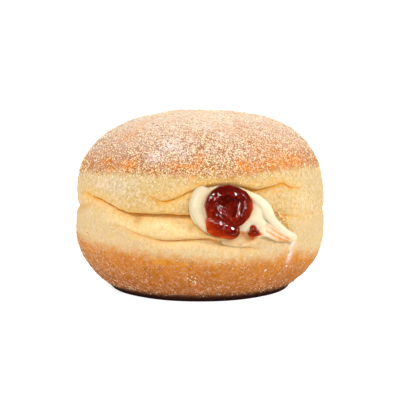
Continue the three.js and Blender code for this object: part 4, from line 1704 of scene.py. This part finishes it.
@dataclass(frozen=True)
class Jam:
    """The dollop of jam with its piped swirl, and the drop that lies apart."""

    skin: Skin
    dollop: Filling = Filling(
        blobs=blobs(
            ((-3.9, 33.5, 0.8), (7.6, 6.4, 2.1)), ((-5.9, 27.2, 1.4), (5.7, 4.3, 2.2)),
            ((-3.4, 24.9, 1.5), (3.1, 2.5, 1.7)), ((-2.9, 25.3, 3.2), (1.3, 0.9, 0.7)),
            ((-8.0, 28.1, 3.7), (0.7, 0.5, 0.5)), ((-7.0, 27.1, 3.9), (0.6, 0.5, 0.5)),
            ((-5.5, 26.4, 3.8), (0.7, 0.5, 0.5)), ((-10.7, 29.0, 2.2), (0.5, 1.0, 0.6)),
        ),
        ropes=ropes(
            (
                (-9.9, 31.2, 2.0, 1.4), (-10.1, 33.8, 2.4, 1.7), (-9.5, 35.7, 2.6, 1.8),
                (-8.3, 37.2, 2.6, 1.9), (-6.4, 38.4, 2.5, 1.9), (-4.4, 38.7, 2.5, 1.9),
                (-2.2, 38.1, 2.5, 1.9), (0.0, 36.7, 2.6, 2.0), (1.3, 34.9, 2.6, 2.1), (1.5, 32.8, 2.6, 2.1),
                (0.9, 30.8, 2.4, 2.0), (-0.4, 29.0, 2.2, 1.8), (-2.2, 27.6, 2.2, 1.6),
            ),
            (
                (-3.0, 36.2, 2.2, 0.8), (-1.6, 35.6, 2.4, 0.8), (-0.7, 34.4, 3.1, 0.65),
                (-2.1, 29.8, 4.9, 0.65), (-3.2, 29.0, 3.2, 0.9), (-4.4, 29.8, 2.7, 0.9),
                (-5.4, 30.8, 2.8, 1.0), (-6.4, 32.4, 2.9, 1.1), (-7.6, 33.4, 2.6, 0.9),
            ),
            ((-7.6, 32.4, 3.4, 0.5), (-6.7, 31.3, 4.4, 0.5)),
            ((-6.3, 32.0, 3.6, 0.5), (-5.4, 30.9, 4.6, 0.5)),
            ((-6.7, 33.8, 3.4, 0.4), (-6.1, 33.1, 4.1, 0.4)),
            ((-1.0, 37.7, 4.1, 0.5), (0.5, 36.2, 4.3, 0.5)),
            ((0.7, 35.2, 4.1, 0.5), (0.2, 32.8, 5.1, 0.5)),
            (
                (-9.6, 28.6, 1.9, 1.2), (-8.3, 28.2, 2.5, 1.4), (-6.9, 27.2, 2.8, 1.4),
                (-5.2, 26.2, 2.8, 1.3), (-3.4, 25.7, 2.7, 1.2), (-2.0, 25.0, 2.2, 1.0),
            ),
            (
                (-10.7, 32.4, 3.1, 0.4), (-10.8, 34.3, 3.5, 0.5), (-10.0, 36.3, 3.7, 0.5),
                (-8.4, 37.9, 3.7, 0.5), (-6.2, 39.1, 3.5, 0.5), (-3.8, 39.3, 3.5, 0.45),
                (-1.6, 38.6, 3.6, 0.35),
            ),
            (
                (-9.1, 32.4, 3.5, 0.35), (-9.1, 34.4, 4.0, 0.45), (-8.3, 36.1, 4.2, 0.5),
                (-6.8, 37.3, 4.2, 0.5), (-5.0, 37.6, 4.1, 0.5), (-3.0, 37.2, 4.2, 0.45),
                (-1.2, 36.3, 4.3, 0.35),
            ),
        ),
        hollows=blobs(
            ((-4.9, 35.2, 4.2), (2.2, 1.4, 1.5)), ((-6.3, 26.9, 4.5), (0.45, 1.1, 0.8)),
            ((-4.4, 26.2, 4.4), (0.45, 1.1, 0.8)),
        ),
        grains=(Grain(2.4, 0.09, 41),),
        pulp_spots=mounds(
            (-6.4, 32.5, 1.8, 1.4, 0.4), (-2.4, 37.8, 1.8, 0.9, 0.6), (0.6, 35.6, 1.0, 1.8, 0.5),
            (-7.6, 27.9, 1.5, 0.9, 0.8), (-5.3, 26.6, 1.6, 0.9, 0.8), (-3.4, 30.6, 1.6, 1.8, 0.5),
            (-9.8, 31.4, 1.2, 1.4, 0.5),
        ),
        blend=0.5,
        cell=0.2,
    )
    drop: Filling = Filling(
        blobs=blobs(
            ((4.1, 25.5, 1.9), (1.2, 1.6, 1.2)), ((5.0, 24.3, 1.8), (1.3, 1.2, 1.0)),
            ((3.8, 23.9, 1.5), (1.1, 1.3, 1.1)), ((3.9, 25.7, 3.0), (0.6, 0.6, 0.5)),
            ((4.6, 24.4, 2.9), (0.5, 0.5, 0.45)),
        ),
        ropes=ropes(
            ((5.2, 24.1, 1.7, 0.6), (6.4, 23.6, 1.2, 0.35)),
            ((4.2, 23.4, 1.2, 0.5), (4.4, 22.5, 0.8, 0.4)),
            ((3.3, 24.2, 1.4, 0.4), (2.6, 24.0, 1.2, 0.3)),
        ),
        grains=(Grain(1.1, 0.16, 43),),
        blend=0.5,
        cell=0.16,
    )
    core: Core = Core(reach=27, up=31.0, half_length=16.5, half_width=5.4, half_height=4.6)
    thin_spots: tuple[Mound, ...] = mounds(
        (-10.8, 27.6, 2.2, 2.4, 1.0), (-8.6, 24.9, 2.6, 1.5, 0.95), (-5.8, 23.4, 2.8, 1.0, 0.9),
        (3.0, 31.5, 1.2, 4.0, 0.45), (-3.4, 30.2, 3.0, 2.4, 0.35), (1.2, 32.8, 1.4, 2.6, 0.3),
        (-9.8, 31.2, 1.6, 1.8, 0.3),
    )
    # painted shade: under the overhanging lip, in the swirl's hollows and on its right side
    jam_shade_spots: tuple[Mound, ...] = mounds(
        (-6.5, 39.2, 5.5, 1.8, 0.8), (-10.2, 36.0, 1.6, 2.6, 0.4), (-4.6, 34.6, 2.4, 1.4, 0.5),
        (1.6, 36.4, 2.4, 2.0, 0.6), (0.6, 31.6, 1.6, 2.6, 0.5), (-2.8, 24.9, 1.6, 1.0, 0.5),
    )
    rims: tuple[Mound, ...] = mounds(
        (-11.3, 28.0, 0.6, 1.6, 1.0), (-10.2, 25.2, 1.0, 0.7, 0.9), (-6.4, 23.2, 2.6, 0.6, 0.8),
        (-3.0, 23.0, 1.8, 0.5, 0.4), (3.3, 33.0, 1.1, 3.2, 0.65),
    )
    least_pulp: float = 0.35
    drop_middle: Span = (4.3, 24.9)
    drop_thin: Span = (0.4, 2.0)  # mm from its middle, over which the drop turns thin
    drop_rim: Span = (1.7, 2.6)  # mm from its middle, over which its edge begins
    drop_pulp: float = 0.3

    def dollop_marks(self, places: np.ndarray) -> dict[str, np.ndarray]:
        """Works out the dollop's marks, from 0 to 1, at places along, up and out."""
        spots = {"thin": self.thin_spots, "jam_shade": self.jam_shade_spots, "rim": self.rims}
        marks = {
            name: np.clip(heights(mark, places[:, 0], places[:, 1]), 0, 1) for name, mark in spots.items()
        }
        return {**marks, "pulpy": np.maximum(self.least_pulp, self.dollop.pulpy(places))}

    def drop_marks(self, places: np.ndarray) -> dict[str, np.ndarray]:
        """Works out the drop's marks, from 0 to 1, at places along, up and out."""
        off_middle = np.hypot(places[:, 0] - self.drop_middle[0], places[:, 1] - self.drop_middle[1])
        return {
            "thin": smooth_step(*self.drop_thin, off_middle),
            "rim": smooth_step(*self.drop_rim, off_middle),
            "pulpy": np.full_like(off_middle, self.drop_pulp),
        }

    def build(self) -> list[bpy.types.Object]:
        """Makes the dollop and the drop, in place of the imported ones.

        Returns:
            The two pieces.
        """
        material = JamFinish().material()
        surface = self.dollop.surface()
        surface.marks = self.dollop_marks(surface.points)
        surface.points = self.skin.wrap(surface.points)
        dollop = surface.mesh_object("jam_dollop")
        joined_core(dollop, self.core)
        finish_piece(dollop, material)
        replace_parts(dollop, "jam")
        surface = self.drop.surface()
        surface.marks = self.drop_marks(surface.points)
        surface.points = self.skin.wrap(surface.points)
        drop = surface.mesh_object("jam_droplet")
        finish_piece(drop, material)
        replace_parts(drop, "jam_drop")
        return [dollop, drop]


# ---------------------------------------------------------------- sugar and crumbs


class GrainShape(Enum):
    """The shape of a scattered grain."""

    CRYSTAL = "crystal"
    CRUMB = "crumb"


@dataclass(frozen=True)
class Scatter:
    """Small grains strewn over a surface by geometry nodes. They make one piece."""

    name: str
    shape: GrainShape
    mark: str  # the surface's mark that says how thick they lie, from 0 to 1
    density: float  # grains per square mm where the mark is 1
    smallest: float  # shortest side of a grain, in mm
    largest: float  # longest side of a grain, in mm
    lift: float  # how far a grain's middle lies above the skin, in mm
    seed: int  # chooses one pattern
    finish: GrainFinish

    def tree(self, material: bpy.types.Material) -> bpy.types.NodeTree:
        """Builds the node tree that strews, turns and sizes the grains.

        Args:
            material: The grains' material.

        Returns:
            The tree, with its sizes as named inputs.
        """
        tree = bpy.data.node_groups.new(self.name, "GeometryNodeTree")
        tree.interface.new_socket("Surface", in_out="INPUT", socket_type="NodeSocketGeometry")
        for name in ("Density", "Smallest", "Largest", "Lift"):
            tree.interface.new_socket(name, in_out="INPUT", socket_type="NodeSocketFloat")
        tree.interface.new_socket("Seed", in_out="INPUT", socket_type="NodeSocketInt")
        tree.interface.new_socket("Grains", in_out="OUTPUT", socket_type="NodeSocketGeometry")
        given = add_node(tree, "NodeGroupInput").outputs
        mark = add_node(tree, "GeometryNodeInputNamedAttribute", {"Name": self.mark})
        density = add_node(tree, "ShaderNodeMath", {0: mark, 1: given["Density"]}, operation="MULTIPLY")
        strewn = add_node(
            tree, "GeometryNodeDistributePointsOnFaces",
            {"Mesh": given["Surface"], "Density": density, "Seed": given["Seed"]},
        ).outputs
        raised = add_node(
            tree, "ShaderNodeVectorMath", {0: strewn["Normal"], "Scale": given["Lift"]}, operation="SCALE"
        )
        points = add_node(tree, "GeometryNodeSetPosition", {"Geometry": strewn["Points"], "Offset": raised})
        if self.shape is GrainShape.CRYSTAL:
            grain = add_node(tree, "GeometryNodeMeshCube", {"Size": (1.0, 1.0, 1.0)})
        else:
            grain = add_node(tree, "GeometryNodeMeshIcoSphere", {"Radius": 0.5, "Subdivisions": 1})
        smallest, largest = (
            add_node(tree, "ShaderNodeCombineXYZ", dict.fromkeys("XYZ", given[name]))
            for name in ("Smallest", "Largest")
        )
        size, turn = (
            add_node(
                tree, "FunctionNodeRandomValue", {"Min": low, "Max": high, "Seed": given["Seed"]},
                data_type="FLOAT_VECTOR",
            )
            for low, high in ((smallest, largest), ((0.0, 0.0, 0.0), (math.tau, math.tau, math.tau)))
        )
        tone = add_node(tree, "FunctionNodeRandomValue", {"Seed": given["Seed"]}, data_type="FLOAT")
        placed = add_node(
            tree, "GeometryNodeInstanceOnPoints",
            {"Points": points, "Instance": grain, "Rotation": turn, "Scale": size},
        )
        toned = add_node(
            tree, "GeometryNodeStoreNamedAttribute", {"Geometry": placed, "Name": "tone", "Value": tone},
            data_type="FLOAT", domain="INSTANCE",
        )
        real = add_node(tree, "GeometryNodeRealizeInstances", {"Geometry": toned})
        dressed = add_node(tree, "GeometryNodeSetMaterial", {"Geometry": real, "Material": material})
        add_node(tree, "NodeGroupOutput", {"Grains": dressed})
        return tree

    def build(self, ground: bpy.types.Object) -> bpy.types.Object:
        """Strews the grains over a piece.

        Args:
            ground: The piece that they lie on, which has the mark.

        Returns:
            The grains, as one piece.
        """
        material = self.finish.material()
        holder = bpy.data.objects.new(self.name, ground.data)
        bpy.context.scene.collection.objects.link(holder)
        modifier = holder.modifiers.new(self.name, "NODES")
        modifier.node_group = self.tree(material)
        given = {
            "Density": self.density / MM**2, "Smallest": self.smallest * MM, "Largest": self.largest * MM,
            "Lift": self.lift * MM, "Seed": self.seed,
        }
        for item in modifier.node_group.interface.items_tree:
            if item.name in given:
                modifier[item.identifier] = given[item.name]
        holder.data = evaluated_mesh(holder)
        finish_piece(holder, material)
        return holder


SUGAR_CRYSTALS = Scatter(
    "sugar_crystals", GrainShape.CRYSTAL, "loose_sugar",
    density=1.7, smallest=0.18, largest=0.42, lift=0.05, seed=3, finish=SUGAR,
)
SOAKED_SUGAR = Scatter(
    "soaked_sugar", GrainShape.CRYSTAL, "soaked_sugar",
    density=1.1, smallest=0.16, largest=0.4, lift=0.03, seed=4, finish=AMBER_SUGAR,
)
CRUMBS = Scatter(
    "dough_crumbs", GrainShape.CRUMB, "crumb",
    density=1.5, smallest=0.5, largest=1.3, lift=0.15, seed=5, finish=DRY_CRUMB,
)


# ---------------------------------------------------------------- studio


@dataclass(frozen=True)
class SoftBox:
    """A square soft light that faces the bun."""

    name: str
    azimuth: float
    elevation: float
    distance: float  # m
    side: float  # m
    power: float  # W
    mirrored: bool = True  # whether glossy surfaces mirror it
    lit: bool = True  # whether it lights matte surfaces


@dataclass(frozen=True)
class Studio:
    """A white opal table, soft light and the camera. Distances are in metres here."""

    middle: Place = (0.0, 0.0, 0.0305)
    camera_distance: float = 0.630
    camera_elevation: float = 6.5
    pixels_per_mm: float = 2.87
    frame_pixels: int = 400
    sensor: float = 36.0
    floor_radius: float = 1.6
    floor_rings: int = 64
    sky_strength: float = 1.1  # of the surroundings, behind the bun and beside it
    sky_tones: Stops = (
        (0.5, "#fafafa"),  # the white table goes on to the horizon
        (0.52, "#fafafa"),
        (0.55, "#a6a6a6"),  # pale walls
        (0.7, "#a6a6a6"),
        (0.8, "#b4b4b4"),  # pale ceiling
    )
    sky_mirrored: float = 0.05  # share of it that gloss mirrors, as through a polarising filter
    front_shade: float = 0.88  # share of it that is missing on the camera's side
    front_span: Span = (-0.85, -0.25)  # where that shade is full and where it ends, from -1 at the front
    soft_boxes: tuple[SoftBox, ...] = (
        SoftBox("key_light", azimuth=-42, elevation=42, distance=0.8, side=0.13, power=3.7),
        SoftBox("fill_light", azimuth=58, elevation=34, distance=0.8, side=0.13, power=4.0),
        SoftBox("front_light", azimuth=-12, elevation=24, distance=0.9, side=0.16, power=1.4),
        SoftBox("glint_light", azimuth=-42, elevation=42, distance=0.8, side=0.1, power=4.5, lit=False),
        SoftBox("sheen_light", azimuth=-30, elevation=12, distance=0.9, side=0.3, power=2.5, lit=False),
        SoftBox("top_light", azimuth=168, elevation=64, distance=0.9, side=0.2, power=4.6, mirrored=False),
    )
    table_tone: tuple[str, str] = ("#acacac", "#b0b0b0")
    table_clouds: float = 40.0  # per metre
    table_roughness: float = 0.9
    table_glow: float = 0.86  # an opal table lit from below hardly shows a shadow
    table_mirrored: float = 0.02  # how brightly gloss mirrors it

    def facing(
        self, name: str, data: bpy.types.ID, azimuth: float, elevation: float, distance: float
    ) -> bpy.types.Object:
        """Places a camera or a lamp that faces the bun.

        Args:
            name: The object's name.
            data: The camera or the lamp.
            azimuth: Azimuth of its place.
            elevation: Angle of its place above the horizontal.
            distance: Distance of its place from the middle.

        Returns:
            The new object.
        """
        turn, rise = math.radians(azimuth), math.radians(elevation)
        toward = Vector((math.sin(turn) * math.cos(rise), -math.cos(turn) * math.cos(rise), math.sin(rise)))
        placed = bpy.data.objects.new(name, data)
        placed.location = Vector(self.middle) + toward * distance
        placed.rotation_euler = toward.to_track_quat("Z", "Y").to_euler()
        bpy.context.scene.collection.objects.link(placed)
        return placed

    def build(self) -> None:
        """Makes the camera, the lamps, the surroundings and the table."""
        scene = bpy.context.scene
        scene.view_settings.view_transform = "Standard"
        lens = bpy.data.cameras.new("camera")
        lens.sensor_width = self.sensor
        lens.lens = self.sensor * self.pixels_per_mm * self.camera_distance / MM / self.frame_pixels
        scene.camera = self.facing("camera", lens, 0, self.camera_elevation, self.camera_distance)
        for box in self.soft_boxes:
            light = bpy.data.lights.new(box.name, "AREA")
            light.size = box.side
            light.energy = box.power
            lamp = self.facing(box.name, light, box.azimuth, box.elevation, box.distance)
            lamp.visible_glossy = box.mirrored
            lamp.visible_diffuse = box.lit
        scene.world = self.surroundings()
        turn = np.arange(self.floor_rings) * 2 * np.pi / self.floor_rings
        rim = np.stack([np.cos(turn), np.sin(turn), np.zeros_like(turn)], -1) * self.floor_radius / MM
        floor = Surface(rim, [list(range(self.floor_rings))]).mesh_object("floor")
        floor.data.materials.append(self.table())

    def surroundings(self) -> bpy.types.World:
        """Builds the room's light: a pale room that is darker on the camera's side.

        Returns:
            The world.
        """
        world = bpy.data.worlds.new("white_studio")
        world.use_nodes = True
        tree = world.node_tree
        tree.nodes.clear()
        toward = add_node(tree, "ShaderNodeTexCoord").outputs["Generated"]
        parts = add_node(tree, "ShaderNodeSeparateXYZ", {"Vector": toward}).outputs
        up = add_node(tree, "ShaderNodeMath", {0: parts["Z"], 1: 0.5, 2: 0.5}, operation="MULTIPLY_ADD")
        tone = add_node(tree, "ShaderNodeValToRGB", {"Fac": up}, stops=self.sky_tones)
        strengths = (self.sky_strength * (1 - self.front_shade), self.sky_strength)
        strength = add_node(tree, "ShaderNodeMapRange", between(parts["Y"], self.front_span, strengths))
        by_gloss = add_node(tree, "ShaderNodeLightPath").outputs["Is Glossy Ray"]
        kept = add_node(tree, "ShaderNodeMapRange", between(by_gloss, (0.0, 1.0), (1.0, self.sky_mirrored)))
        dimmed = add_node(tree, "ShaderNodeMath", {0: strength, 1: kept}, operation="MULTIPLY")
        sky = add_node(tree, "ShaderNodeBackground", {"Color": tone, "Strength": dimmed})
        add_node(tree, "ShaderNodeOutputWorld", {"Surface": sky})
        return world

    def table(self) -> bpy.types.Material:
        """Builds the table's material: matte white opal that shines from below.

        Returns:
            The material.
        """
        material, tree = new_material("opal_light_table")
        place = add_node(tree, "ShaderNodeTexCoord").outputs["Object"]
        clouds = add_node(tree, "ShaderNodeTexNoise", {"Vector": place, "Scale": self.table_clouds})
        dark, light = (linear(colour) for colour in self.table_tone)
        tone = add_node(tree, "ShaderNodeMix", {"Factor": clouds, "A": dark, "B": light}, data_type="RGBA")
        white = linear("#ffffff")
        shining = add_node(
            tree, "ShaderNodeBsdfPrincipled",
            {
                "Base Color": tone, "Roughness": self.table_roughness, "Specular IOR Level": 0.0,
                "Emission Color": white, "Emission Strength": self.table_glow,
            },
        )
        mirrored = add_node(tree, "ShaderNodeEmission", {"Color": white, "Strength": self.table_mirrored})
        by_gloss = add_node(tree, "ShaderNodeLightPath").outputs["Is Glossy Ray"]
        seen = add_node(tree, "ShaderNodeMixShader", {0: by_gloss, 1: shining, 2: mirrored})
        add_node(tree, "ShaderNodeOutputMaterial", {"Surface": seen})
        return material


# ---------------------------------------------------------------- the doughnut


def main() -> None:
    """Loads the frame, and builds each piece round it."""
    logging.basicConfig(level=logging.INFO, format="%(name)s: %(message)s")
    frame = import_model()
    LOG.info("frame nodes: %s", ", ".join(sorted(frame["nodes"])))
    Studio().build()
    skin = Skin()
    bun = Bun(skin).build()
    jam = Jam(skin)
    Cream(skin).build(jam.dollop)
    jam.build()
    for scatter in (SUGAR_CRYSTALS, SOAKED_SUGAR, CRUMBS):
        scatter.build(bun)


if __name__ == "__main__":
    main()
